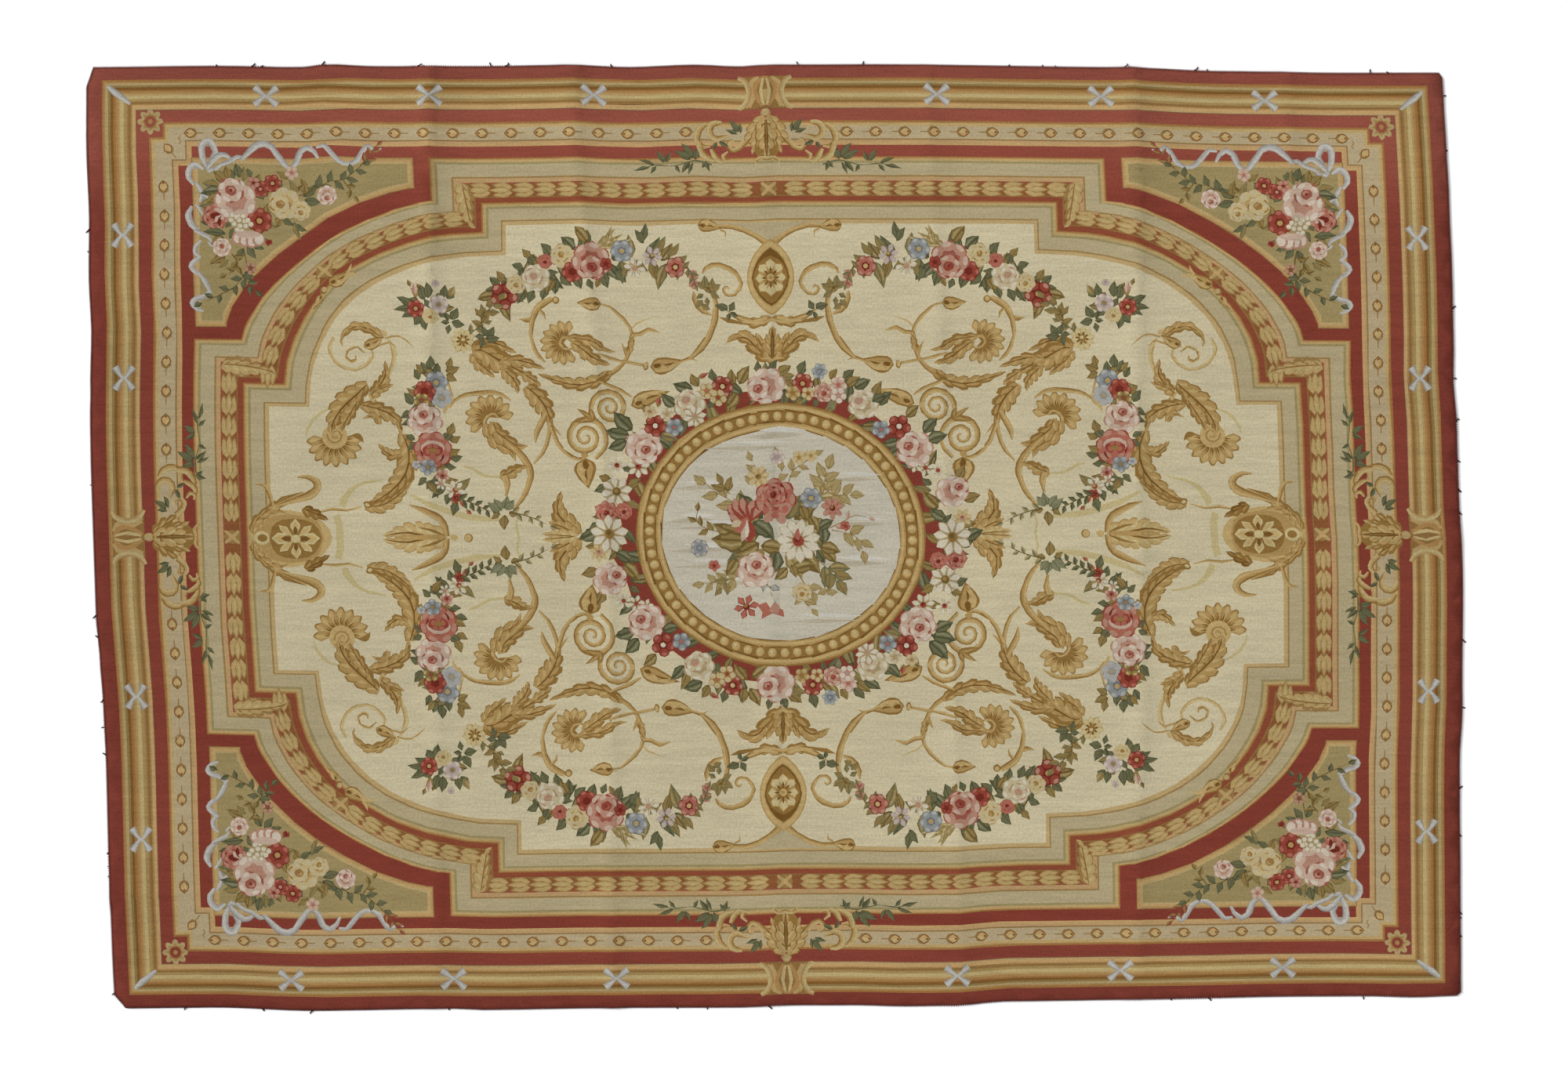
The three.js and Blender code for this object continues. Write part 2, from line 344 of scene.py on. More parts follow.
roseTones = {
    "pink": ("roseMid", "roseLight", "rosePale", "roseDeep", "roseHeart"),
    "rosy": ("roseDeep", "roseMid", "roseLight", "redMid", "roseHeart"),
    "white": ("creamShade", "creamYarn", "whiteYarn", "roseMid", "roseDeep"),
    "red": ("redMid", "redLight", "roseMid", "redDark", "redDark"),
    "yellow": ("yellowMid", "yellowLight", "creamYarn", "yellowDark", "roseDeep"),
}


def rose(u, v, radius, kind="pink", turn=0.3, heart=(0.0, -0.1)):
    # Ragged outer petals round a cupped heart
    radius = radius * overSize["rose"]
    edge, light, pale, deep, core = roseTones[kind]
    lay(oval(u, v, radius, radius * 0.94, turn, 28, 7, 0.16), edge)
    petals(u, v, 7, radius * 0.66, radius * 0.36, radius * 0.24, light, turn)
    if radius > paleTipsFrom["rose"]:
        petals(u, v, 7, radius * 0.76, radius * 0.24, radius * 0.13, pale, turn + 0.1)
    hu, hv = u + heart[0] * radius, v + heart[1] * radius
    lay(oval(hu, hv, radius * 0.62, radius * 0.56, turn, 20, 5, 0.14), deep)
    petals(hu, hv, 5, radius * 0.36, radius * 0.27, radius * 0.2, light, turn + 0.5)
    petals(hu, hv, 4, radius * 0.42, radius * 0.18, radius * 0.1, pale, turn + 0.9)
    lay(oval(hu, hv, radius * 0.27, radius * 0.23, turn, 10), deep)
    lay(oval(hu - radius * 0.05, hv + radius * 0.05, radius * 0.15, radius * 0.1, turn, 7), edge)
    lay(oval(hu, hv, radius * 0.08, radius * 0.08, 0, 6), core)


def daisy(u, v, radius, petalTones=daisyTone, heart=("oliveDark", "yellowDark"),
          count=10, turn=0.2):
    shade, light = petalTones
    radius = radius * overSize["daisy"]
    place = np.array([u, v])
    for yarn, near, far, wide, belly, points in ((shade, 0.1, 1.0, 0.56, 1.25, 5),
                                                 (light, 0.25, 0.97, 0.4, 1.35, 4)):
        for k in range(count):
            way = towards(turn + k * 2 * math.pi / count) * radius
            blade(place + way * near, place + way * far, radius * wide, yarn, 0, belly, points)
    lay(oval(u, v, radius * 0.26, None, 0, 9), heart[0])
    lay(oval(u - radius * 0.04, v + radius * 0.05, radius * 0.14, None, 0, 7), heart[1])


def blossom(u, v, radius, tones, heart="yellowMid", count=5, turn=0.4):
    # Small open flower: round petals, each lighter towards its tip
    radius = radius * overSize["blossom"]
    dark, mid, light = tones
    petals(u, v, count, radius * 0.52, radius * 0.46, radius * 0.46, dark, turn, 8)
    petals(u, v, count, radius * 0.62, radius * 0.36, radius * 0.32, mid, turn, 7)
    if radius > paleTipsFrom["blossom"]:
        petals(u, v, count, radius * 0.74, radius * 0.22, radius * 0.15, light, turn, 6)
    lay(oval(u, v, radius * 0.22, None, 0, 7), heart)


redFlower = ("redDark", "redMid", "redLight")
pinkFlower = ("roseDeep", "roseMid", "roseLight")
creamFlower = ("creamShade", "creamYarn", "whiteYarn")
honeyFlower = ("yellowMid", "yellowLight", "creamYarn")
butterFlower = ("yellowDark", "yellowLight", "creamYarn")
crimsonFlower = ("redDark", "redMid", "roseMid")
scarletFlower = ("redMid", "redLight", "roseMid")
blueFlower = ("blueDark", "blueMid", "blueLight")
lilacFlower = ("lilacMid", "lilacLight", "rosePale")


def bud(base, tip, width, tones=redFlower, cup=olives):
    blade(base, tip, width, tones[1], 0, 0.85, 5)
    left, middle, right = bladeSides(base, tip, width, 0, 0.85, 5)
    lay(np.vstack([left[1:-1], middle[-1:0:-1]]), tones[2])
    base, tip = np.asarray(base, float), np.asarray(tip, float)
    for side in (left[2], right[2]):
        blade(base, side + (tip - base) * 0.15, width * 0.35, cup[1], 0, 0.9, 3)


def vine(points, widths, tones=golds, lit=1):
    # A gold stem: a darker edge, its body, and a lighter side
    dark, mid, light = tones
    stroke(points, widths, dark)
    stroke(points, scaled(widths, 0.74), mid, 0.17 * lit)
    stroke(points, scaled(widths, 0.3), light, 0.75 * lit)


def acanthus(points, width, lobes=5, tones=golds, point=0.5, vein="goldDeep"):
    # A leaf whose round lobes hook forwards off a bent spine, from its base to its tip
    dark, mid, light = tones
    line = smoothPath(points, 2.5)
    share = np.linspace(0, 1, lobes * 4 + 1)
    spine = np.column_stack([np.interp(share, np.linspace(0, 1, len(line)), line[:, k])
                             for k in (0, 1)])
    side = normals(spine)
    ahead = np.column_stack([side[:, 1], -side[:, 0]])
    belly = 0.45 + 0.3 * point
    half = (np.sin(math.pi * np.clip(share * 0.9 + 0.06, 0, 1) ** belly) * width / 2)[:, None]
    reach = np.append(np.tile((0.56, 0.98, 1.2, 1.06), lobes), 0)[:, None]
    hook = np.append(np.tile((0, 0.08, 0.26, 0.5), lobes), 0)[:, None]

    def rim(way, size):
        return spine + (side * way * reach + ahead * hook) * half * size

    body = side * half * 0.8
    lay(np.vstack([spine + body, (spine - body)[-2:0:-1]]), dark)
    for lit, low, yarn in ((1.0, 1.0, dark), (0.86, 0.6, mid)):
        lay(np.vstack([rim(1, lit), rim(-1, low)[-2:0:-1]]), yarn)
    lit, low = rim(1, 0.74), rim(-1, 0.9)
    for k in range(lobes):
        j = 4 * k
        root = spine[j + 1] + side[j + 1] * half[j + 1] * 0.12
        blade(root, lit[j + 3], 0.3 * float(half[j + 2, 0]) + 1.6, light, -0.08, 0.9, 4)
        if k:
            blade(low[j], spine[j - 2], 0.16 * float(half[j, 0]) + 1.2, dark, 0.06, 0.9, 4)
    stroke(spine[1:-1], (width * 0.05, width * 0.1, width * 0.03), vein, -0.6, step=10)


def husk(base, tip, width, lit=1):
    # A closed seed husk: dark back, wavy light lip and a dark eye near its base
    width = width * overSize["husk"]
    base, tip = np.asarray(base, float), np.asarray(tip, float)
    blade(base, tip, width, "goldDark", 0.04 * lit, 0.62, 8)
    blade(base + (tip - base) * 0.04, tip - (tip - base) * 0.1, width * 0.76, "goldMid",
          0.05 * lit, 0.62, 8)
    left, middle, right = bladeSides(base, tip, width * 0.8, 0.05 * lit, 0.62, 8)
    lip = middle + (left - middle) * np.array([0, 0.1, 0.5, -0.2, 0.5, -0.2, 0.5, 0, 0])[:, None] * lit
    far = middle + ((left if lit > 0 else right) - middle) * 0.9
    lay(np.vstack([far[1:8], lip[7:0:-1]]), "goldLight")
    eye = base + (tip - base) * 0.2
    heading = math.atan2(*(tip - base)[::-1])
    lay(oval(eye[0], eye[1], width * 0.22, width * 0.15, heading, 9), "goldDeep")
    blade(base + (tip - base) * 0.35, base + (tip - base) * 0.72, width * 0.13, "goldDeep",
          0.12 * lit, 1, 4)


def spiralPoints(u, v, outer, inner, start, turns, squash=1.0):
    count = max(6, int(abs(turns) * 10))
    share = np.linspace(0, 1, count)
    angle = math.radians(start) + share * turns * 2 * math.pi
    radius = outer + (inner - outer) * share ** 0.85
    return np.column_stack([u + radius * np.cos(angle), v + radius * np.sin(angle) * squash])


def fanShell(u, v, radius, start, end, ribs=9, squash=0.94):
    # A scalloped shell: round-ended ribs with dark gaps, fanned about one point
    centre = np.array([u, v])
    spread = math.radians(end - start)
    rim = []
    for k in range(ribs * 6 + 1):
        angle = math.radians(start) + spread * k / (ribs * 6)
        bulge = 0.86 + 0.2 * abs(math.sin(k / 6 * math.pi))
        rim.append(centre + towards(angle, 1, squash) * radius * bulge)
    lay(np.vstack([[centre], rim]), "goldDark")
    for k in range(ribs):
        angle = math.radians(start) + spread * (k + 0.5) / ribs
        way = towards(angle, 1, squash)
        wide = spread / ribs * radius
        for near, far, share, *how in ((0.2, 1.02, 0.92, "goldMid", 0.05, 2.1, 7),
                                       (0.38, 0.98, 0.5, "goldLight", 0.07, 1.9, 6),
                                       (0.3, 0.7, 0.14, "goldDeep", 0.03, 1, 4)):
            blade(centre + way * radius * near, centre + way * radius * far, wide * share, *how)


print("drawing kit ready,", len(yarns), "yarns")


# Straight border bands, from the outer edge inwards: half length, half width, yarn
borderBands = [
    (1375, 950, "edgeRed"), (1345, 925, "outerOchre"), (1342, 921, "railOchre"), (1338.5, 918, "railPale"),
    (1332.5, 913.5, "railOlive"), (1327.5, 909.5, "railBrown"), (1322, 904, "outerOchre"),
    (1317, 901, "railOchre"), (1312, 897, "railGold"), (1308, 893, "railLight"), (1301, 886, "railShade"),
    (1295, 881.5, "frameLine"), (1292, 879.5, "lowBrown"), (1286.5, 876, "railOchre"),
    (1283.5, 873.5, "rimOchre"), (1278, 866, "railPale"), (1276.5, 864, "rimDark"), (1275, 862, "bandRed"),
]


def rectangle(halfLength, halfWidth):
    return [(-halfLength, -halfWidth), (halfLength, -halfWidth), (halfLength, halfWidth),
            (-halfLength, halfWidth)]


def notched(halfLength, halfWidth, notchU, notchV):
    # A rectangle whose corners are stepped in
    quarter = [(halfLength, 0), (halfLength, halfWidth - notchV),
               (halfLength - notchU, halfWidth - notchV), (halfLength - notchU, halfWidth),
               (0, halfWidth)]
    return mirroredOutline(quarter)


def mirroredOutline(quarter):
    q = np.asarray(quarter, float)
    return np.vstack([q, (q * (-1, 1))[::-1][1:], (q * (-1, -1))[1:], (q * (1, -1))[::-1][1:-1]])


# The stepped frame: key sizes at four distances in from its outer line
framePlan = {
    "inset": (0, 64, 124, 136),
    "topV": (766, 702, 642, 630), "sideU": (1169, 1098, 1029, 1016),
    "stepU": (683, 612, 545, 534), "arcV": (679, 645, 581, 570),
    "arcU": (1074, 1018, 945, 935), "stepV": (400, 341, 276, 266),
    "roundness": (1.5, 1.8, 2.3, 2.3),
}


def superArc(centreU, centreV, radiusU, radiusV, roundness, count=22):
    angle = np.linspace(0, math.pi / 2, count)
    return np.column_stack([centreU + radiusU * np.cos(angle) ** (2 / roundness),
                            centreV + radiusV * np.sin(angle) ** (2 / roundness)])


def frameQuarter(inset):
    at = {name: np.interp(inset, framePlan["inset"], values) for name, values in framePlan.items()}
    arc = superArc(at["stepU"], at["stepV"], at["arcU"] - at["stepU"], at["arcV"] - at["stepV"],
                   at["roundness"])
    return np.vstack([[(at["sideU"], 0), (at["sideU"], at["stepV"])], arc,
                      [(at["stepU"], at["topV"]), (0, at["topV"])]])


frameBands = [
    (0, "outerOchre"), (2.5, "frameOchre"), (4.5, "rimOchre"), (7, "framePale"), (9, "frameOlive"),
    (13.5, "frameBeige"), (38, "frameLine"), (41.5, "tan"), (49.5, "lineRed"), (53, "laurelGround"),
    (78, "lowBrown"), (80.5, "laurelRed"), (90, "outerOchre"), (92.5, "frameOchre"), (95, "framePale"),
    (98.5, "frameOlive"), (103, "frameBeige"), (125.5, "frameLine"), (128.5, "innerTan"), (136, "mistGold"),
    (138, "field"),
]

copying["way"] = "once"
for halfLength, halfWidth, yarn in borderBands:
    lay(rectangle(halfLength, halfWidth), yarn)

# Band of buds between two red bands, stepped at its corners
budBand = {"outer": (1250, 838.5), "outerNotch": (28, 30), "inner": (1205, 802), "innerNotch": (28, 39),
           "pitch": 59, "middle": (1226, 820)}
for inset, yarn in ((0, "outerOchre"), (3, "railOchre"), (5, "budRim"), (11, "budBeige")):
    lay(notched(budBand["outer"][0] - inset, budBand["outer"][1] - inset, *budBand["outerNotch"]), yarn)
for inset, yarn in ((0, "lineBrown"), (3, "tan"), (8, "rimOchre"), (13, "groundRed")):
    lay(notched(budBand["inner"][0] - inset, budBand["inner"][1] - inset, *budBand["innerNotch"]), yarn)
for inset, yarn in frameBands:
    lay(mirroredOutline(frameQuarter(inset)), yarn)

# Corner panels
panel = {"corner": (1166, 767), "leg": (716, 424), "shoulder": (705, 1104), "roundness": 1.48,
         "bands": ((0, "lineBrown"), (2, "frameOchre"), (6, "rimOchre"), (9, "framePale"),
                   (13, "khaki"))}


def panelOutline(inset):
    cornerU, cornerV = panel["corner"]
    legU, legV = panel["leg"]
    arc = superArc(legU, legV, panel["shoulder"][1] - legU, panel["shoulder"][0] - legV,
                   panel["roundness"])
    arc = arc + normals(arc) * (-inset, -inset)
    keepU, keepV = legU + inset, legV + inset
    arc = arc[(arc[:, 0] > keepU) & (arc[:, 1] > keepV)]
    return np.vstack([[(cornerU - inset, cornerV - inset), (cornerU - inset, keepV),
                       (arc[0][0], keepV)], arc, [(keepU, arc[-1][1]), (keepU, cornerV - inset)]])


copying["way"] = "quarter"
for inset, yarn in panel["bands"]:
    lay(panelOutline(inset), yarn)
print("bands and panels drawn:", len(drawn), "outlines")


# Small border ornaments
def budMotif(place, heading, size=1.0):
    # One ochre bud on its stalk, pointing along heading
    way = towards(heading)
    side = np.array([-way[1], way[0]])
    place = np.asarray(place, float)
    stroke([place - way * 29 * size, place + way * 2], (2, 3), "lineBrown", step=14)
    for reach in (-1, 1):
        stroke([place - way * 15 * size, place - way * 9 * size + side * 8 * reach * size,
                place + side * 10.5 * reach * size], (1.6, 3.4, 1.4), "lineBrown", step=5)
    blade(place - way * 13 * size, place + way * 13 * size, 21 * size, "railBrown", 0, 1.0, 8)
    blade(place - way * 11 * size, place + way * 10.5 * size, 16 * size, "rimOchre", 0, 1.0, 7)
    blade(place - way * 9 * size + side * 2, place + way * 4 * size + side * 2.5, 6 * size,
          "railLight", 0, 1, 5)
    lay(oval(*(place + way * 6 * size), 3 * size, 2.6 * size, 0, 6), "railBrown")


copying["way"] = "quarter"
for k in range(18):
    along = 164 + budBand["pitch"] * k
    if along < 1180:
        budMotif((along, budBand["middle"][1] - 4), 0)
for k in range(11):
    along = 178 + budBand["pitch"] * k
    if along < 745:
        budMotif((budBand["middle"][0] - 2, along), math.pi / 2)
budMotif((1212, 786), math.radians(50), 0.9)
stroke([(1186, 812), (1190, 806), (1185, 800), (1189, 794)], (2, 3, 2), "lineBrown")

# Eight-pointed corner rosette
rosette = {"at": (1247, 840), "stars": ((27, 0.34, "railPale"), (19, 0.3, "railOchre")),
           "discs": ((13, 10, "lowBrown"), (11, 10, "bandRed"), (5, 7, "railOchre"))}
for radius, depth, yarn in rosette["stars"]:
    lay(oval(*rosette["at"], radius, radius, math.pi / 8, 32, 8, depth), yarn)
for radius, count, yarn in rosette["discs"]:
    lay(oval(*rosette["at"], radius, radius, 0, count), yarn)

# Grey ribbons crossed over the moulding, and one on each mitre
def ribbon(points, widths, lit=1):
    stroke(points, widths, "ribbonShade")
    stroke(points, scaled(widths, 0.78), "ribbonMid", 0.08 * lit)
    stroke(points, scaled(widths, 0.34), "ribbonLight", 0.5 * lit)


def knot(u, v, reachU, reachV):
    # Two short ribbons crossed, with flared ends
    for yarn, share in (("ribbonShade", 1), ("ribbonMid", 0.76), ("ribbonLight", 0.36)):
        for way in (1, -1):
            stroke([(u - reachU, v - reachV * way), (u - 5, v - 3 * way), (u + 5, v + 3 * way),
                    (u + reachU, v + reachV * way)], scaled((17, 13, 8, 7, 8, 13, 17), share), yarn)


for along in (348, 681, 1013):
    knot(along, 892, 23, 18)
for along in (322, 611):
    knot(1309, along, 18, 23)
ribbon([(1333, 912), (1318, 899), (1300, 886), (1288, 876)], (8, 14, 12, 6))

# Laurel roll in the stepped frame: bundles of three leaves pointing away from its ties
laurel = {"inset": 65, "pitch": 43, "leaf": 46, "start": 30}
track = frameQuarter(laurel["inset"])[::-1]
travelled = lengthsAlong(track)


def laurelBundle(place, heading, size=1.0):
    way = towards(heading)
    side = np.array([-way[1], way[0]])
    length = laurel["leaf"] * size
    for offset, start, reach, width in ((11, 0, 0.94, 18), (-11, 0, 0.94, 18), (0, 5, 1.1, 15)):
        base = place + side * offset * 0.45 * size + way * start
        tip = place + way * length * reach + side * offset * size
        blade(base, tip, width * size, "laurelShade", 0.0, 0.85, 6)
        blade(base + way * 1.5, tip - way * 4, width * 0.76 * size, "laurelLeaf", 0.0, 0.85, 6)
        if not offset:
            blade(base + way * 6, tip - way * 12, width * 0.26 * size, "railLight", 0.03, 0.85, 4)


def laurelRun(first, last, backwards=False):
    count = max(1, round((last - first) / laurel["pitch"]))
    steps = (np.arange(count) + 0.02) * (last - first) / count + first
    for at in (steps[::-1] if not backwards else steps):
        if backwards:
            at = at + (last - first) / count
        a = np.array([np.interp(at, travelled, track[:, k]) for k in (0, 1)])
        b = np.array([np.interp(at + (-6 if backwards else 6), travelled, track[:, k]) for k in (0, 1)])
        laurelBundle(a, math.atan2(b[1] - a[1], b[0] - a[0]))


def laurelTie(place, size=1.0):
    u, v = place
    lay(oval(u, v, 17 * size, 14 * size, 0, 12), "laurelShade")
    for turn in (0.7, 2.4):
        way = towards(turn) * 19 * size
        stroke([(u - way[0], v - way[1]), (u, v), (u + way[0], v + way[1])], (5, 8, 5), "laurelLeaf")
    lay(oval(u, v, 6 * size, 5 * size, 0, 8), "rimOchre")


stepAt = travelled[1]
cornerOne = travelled[1] + np.linalg.norm(track[2] - track[1])
cornerTwo = travelled[-2]
laurelRun(laurel["start"], stepAt - 6)
laurelRun(cornerOne + 8, (cornerOne + cornerTwo) / 2 - 14, True)
laurelRun((cornerOne + cornerTwo) / 2 + 14, cornerTwo - 8)
laurelRun(cornerTwo + 8, travelled[-1] - laurel["start"], True)
middleAt = [np.interp((cornerOne + cornerTwo) / 2, travelled, track[:, k]) for k in (0, 1)]
for place in (track[0], track[-1], middleAt):
    laurelTie(place)
# One long leaf lies along each short step
for lobes, *points in ((5, (1, 10, 16), (1, 6, -14), (2, -4, -6), (2, -16, -20)),
                       (6, (-2, 16, 8), (-2, -20, 6), (-3, 4, -2), (-3, -16, -12))):
    acanthus([track[corner] + offset for corner, *offset in points], 34, lobes,
             ("laurelShade", "laurelLeaf", "railLight"), 0.4, "lowBrown")

# Clasps at the middle of each side of the moulding, with a leafy cartouche below


def turned(points, quarterTurn, shiftTo):
    # The same ornament on the long sides (0) or the short sides (1)
    points = np.asarray(points, float)
    return points[:, ::-1] + shiftTo if quarterTurn else points


def clasp(quarterTurn, shiftTo):
    def at(*points):
        return turned(points, quarterTurn, shiftTo)
    lay(at((0, 929), (48, 929), (40, 918), (34, 906), (33, 896), (36, 884), (44, 872), (52, 864),
           (0, 864)), "lowBrown")
    stroke(at((0, 926), (14, 918), (22, 902), (17, 886), (6, 868)), (7, 9, 9, 8, 6), "railOchre")
    stroke(at((12, 927), (26, 920), (30, 903), (25, 884), (32, 868)), (6, 9, 8, 9, 6), "railGold")
    stroke(at((3, 924), (7, 912), (9, 898), (7, 884), (3, 870)), (4, 6, 7, 6, 4), "railLight")
    stroke(at((20, 925), (30, 914), (32, 898), (29, 880), (38, 867)), (3, 4, 4, 4, 3), "railPale")
    vine(at((54, 928), (42, 922), (35, 909), (33, 897), (36, 883), (44, 871), (55, 864)),
         (8, 11, 11, 11, 11, 11, 8), ("railOchre", "railPale", "railLight"))
    lay(oval(*at((0, 855))[0], 11, 9, 0, 10), "railShade")
    lay(oval(*at((0, 856))[0], 8, 7, 0, 8), "railPale")
    # Palmette
    lay(at((0, 848), (14, 842), (26, 826), (32, 803), (28, 780), (18, 768), (0, 764)), "goldDark")
    for width, *points in ((30, (2, 846), (20, 826), (36, 802), (56, 790)),
                           (26, (4, 832), (18, 804), (30, 772)), (42, (0, 846), (0, 806), (0, 760))):
        acanthus(at(*points), width, 4, railGolds)
    vine(at((0, 762), (14, 764), (24, 758), (20, 752)), (8, 8, 6, 4), railGolds)
    # Scrolls beside the palmette
    vine(at((44, 800), (56, 786), (70, 782), (78, 792), (72, 802), (64, 798)), (11, 12, 11, 9, 7, 5),
         railGolds)
    vine(at((90, 836), (106, 834), (115, 822), (111, 808), (98, 803), (86, 808), (76, 812)),
         (8, 12, 14, 14, 11, 8, 5), railGolds)
    vine(at((122, 832), (135, 822), (141, 806), (137, 793), (126, 786), (114, 788)),
         (8, 14, 15, 12, 9, 5), railGolds)
    vine(at((136, 796), (134, 778), (124, 766), (108, 760), (98, 764)), (11, 15, 14, 11, 5), railGolds)
    vine(at((112, 782), (106, 768), (94, 758), (82, 762)), (8, 12, 11, 5), railGolds)
    vine(at((78, 778), (88, 770), (84, 760), (74, 762)), (5, 9, 8, 4), railGolds)
    # Leaf sprays
    for *ends, width in ((56, 818, 72, 840, 9), (58, 814, 80, 822, 7), (52, 816, 54, 836, 6),
                         (96, 798, 78, 790, 7), (100, 796, 108, 782, 7), (122, 756, 132, 744, 7),
                         (124, 758, 118, 738, 7), (146, 760, 142, 782, 10), (150, 762, 170, 790, 11),
                         (154, 760, 184, 776, 11), (156, 756, 172, 736, 8), (150, 754, 160, 732, 6),
                         (206, 756, 196, 776, 7), (208, 756, 222, 778, 9), (186, 750, 178, 736, 6),
                         (228, 752, 256, 762, 6), (238, 748, 268, 742, 6), (224, 750, 236, 736, 6)):
        leaf(*at(ends[:2], ends[2:]), width, greens)
    stroke(at((112, 750), (146, 758), (190, 748), (226, 752), (250, 747)), (3, 3, 2, 2, 1.5), "leafMid")


copying["way"] = "quarter"
clasp(0, 0)
clasp(1, (409, 0))
print("border ornaments drawn:", len(drawn), "outlines")

# Flowers and ribbon on each corner panel
panelRibbon = [
    ([(1128, 760), (1116, 778), (1128, 799), (1142, 792), (1143, 770), (1134, 748), (1128, 736)],
     (6, 12, 14, 15, 14, 10, 6)),
    ([(1136, 742), (1120, 762), (1104, 772), (1090, 768), (1084, 756)], (6, 12, 13, 10, 5)),
    ([(1142, 742), (1158, 752), (1170, 742), (1172, 726), (1162, 712)], (6, 13, 14, 12, 7)),
    ([(1134, 740), (1120, 742), (1106, 734), (1096, 728)], (6, 11, 9, 5)),
    ([(1122, 738), (1106, 752), (1088, 758), (1072, 768), (1056, 764)], (5, 9, 9, 10, 8)),
    ([(1066, 762), (1050, 776), (1036, 790), (1016, 796), (996, 786)], (6, 12, 15, 15, 12)),
    ([(1004, 792), (988, 770), (974, 752), (962, 744)], (10, 14, 13, 6)),
    ([(966, 744), (952, 760), (944, 780), (930, 788), (916, 778), (908, 764)], (7, 13, 14, 13, 10, 6)),
    ([(912, 786), (896, 788), (882, 774), (868, 758), (852, 752), (838, 756)], (5, 10, 12, 11, 10, 7)),
    ([(842, 752), (828, 762), (818, 780), (806, 790), (792, 780), (780, 786)], (7, 12, 12, 11, 8, 4)),
    ([(1158, 716), (1150, 704), (1146, 690), (1152, 676)], (6, 11, 12, 6)),
    ([(1150, 700), (1140, 690), (1132, 684)], (8, 9, 4)),
    ([(1168, 668), (1176, 650), (1170, 632), (1156, 618)], (7, 14, 14, 8)),
    ([(1160, 672), (1152, 662), (1146, 650)], (6, 8, 4)),
    ([(1164, 620), (1148, 612), (1136, 606), (1128, 596)], (6, 10, 9, 4)),
    ([(1150, 598), (1160, 588), (1162, 574), (1152, 566)], (5, 9, 10, 6)),
    ([(1136, 596), (1126, 588), (1118, 590)], (5, 9, 4)),
    ([(1150, 566), (1164, 556), (1170, 546), (1162, 536), (1150, 530)], (6, 11, 12, 10, 7)),
    ([(1154, 532), (1144, 520), (1136, 504), (1130, 490)], (6, 11, 12, 6)),
    ([(1136, 494), (1148, 484), (1160, 482), (1170, 472), (1160, 460), (1148, 456)],
     (6, 11, 11, 12, 10, 5)),
]
for points, widths in panelRibbon:
    ribbon(points, widths)
panelLeaves = [
    (1050, 700, 1030, 732, 16, olives), (1010, 700, 1000, 730, 14, mixedLeaf),
    (1112, 676, 1150, 668, 16, mixedLeaf), (1114, 630, 1148, 636, 14, greens),
    (1020, 640, 1000, 628, 14, mixedLeaf), (1040, 690, 1012, 700, 16, greens),
    (1086, 716, 1092, 744, 16, greens), (1062, 720, 1060, 746, 15, mixedLeaf),
    (1108, 706, 1142, 714, 14, mixedLeaf), (1104, 700, 1146, 694, 16, greens),
    (1098, 716, 1120, 738, 16, olives), (1092, 722, 1096, 748, 12, olives),
    (1108, 692, 1136, 676, 14, olives), (1098, 672, 1124, 664, 12, greens),
    (1070, 726, 1076, 752, 14, greens), (1046, 726, 1052, 744, 10, greens),
    (1100, 612, 1142, 616, 12, greens), (1104, 606, 1128, 592, 11, olives),
    (1086, 640, 1100, 626, 14, greens), (1076, 624, 1092, 604, 12, greens),
    (996, 706, 984, 722, 12, greens), (1010, 690, 982, 688, 12, olives),
    (1012, 676, 1016, 650, 14, olives), (1006, 676, 988, 662, 13, mixedLeaf),
    (984, 652, 998, 628, 12, olives), (986, 648, 964, 632, 9, greens),
    (966, 636, 938, 622, 9, greens), (962, 640, 950, 606, 8, mixedLeaf),
    (942, 690, 914, 712, 13, greens), (940, 684, 908, 676, 12, greens),
    (936, 692, 944, 724, 12, olives), (952, 702, 940, 714, 9, olives),
    (956, 690, 968, 722, 10, mixedLeaf), (972, 724, 992, 740, 10, olives),
    (1064, 584, 1072, 560, 12, greens), (1056, 590, 1040, 566, 11, greens),
    (1048, 596, 1024, 584, 10, greens), (1038, 606, 1016, 602, 9, mixedLeaf),
    (1100, 566, 1130, 552, 12, olives), (1094, 560, 1112, 544, 10, mixedLeaf),
]
for *ends, width, tones in panelLeaves:
    leaf(ends[:2], ends[2:], width, tones)
sprig([(950, 692), (920, 702), (884, 716), (858, 720), (836, 738), (818, 752)], 26, greens, 4, 0.3)
sprig([(860, 718), (846, 700), (838, 688)], 18, olives, 1, 0.5)
sprig([(824, 750), (806, 768), (796, 784), (788, 792)], 18, ("redMid", "oliveMid", "oliveLight"), 2, 0.3)
sprig([(1088, 572), (1076, 556), (1080, 540), (1098, 530)], 20, olives, 2, 0.2)
sprig([(1062, 580), (1058, 548), (1066, 524), (1092, 500), (1124, 484), (1150, 472)], 22, greens, 3, 0.35)
sprig([(1072, 536), (1056, 516), (1040, 500)], 22, greens, 2, 0.3)
blossom(1050, 544, 12, ("oliveDark", "roseMid", "goldLight"), "redMid")
blossom(1003, 716, 17, redFlower, "yellowMid", 6)
blossom(1028, 704, 16, redFlower, "roseMid", 6)
blossom(1042, 716, 12, pinkFlower, "redDark")
rose(1120, 648, 26, "red", 0.2, (0.15, 0))
for k, (u, v) in enumerate(((1124, 664), (1128, 648), (1122, 634), (1112, 626), (1104, 640))):
    blade((1108, 650), (u, v), 9, ("roseLight", "redDark")[k % 2], 0.15, 1.2, 4)
blossom(1032, 640, 24, redFlower, "goldMid", 6, 0.1)
rose(1079, 681, 41, "pink", 0.4, (0.2, 0.42))
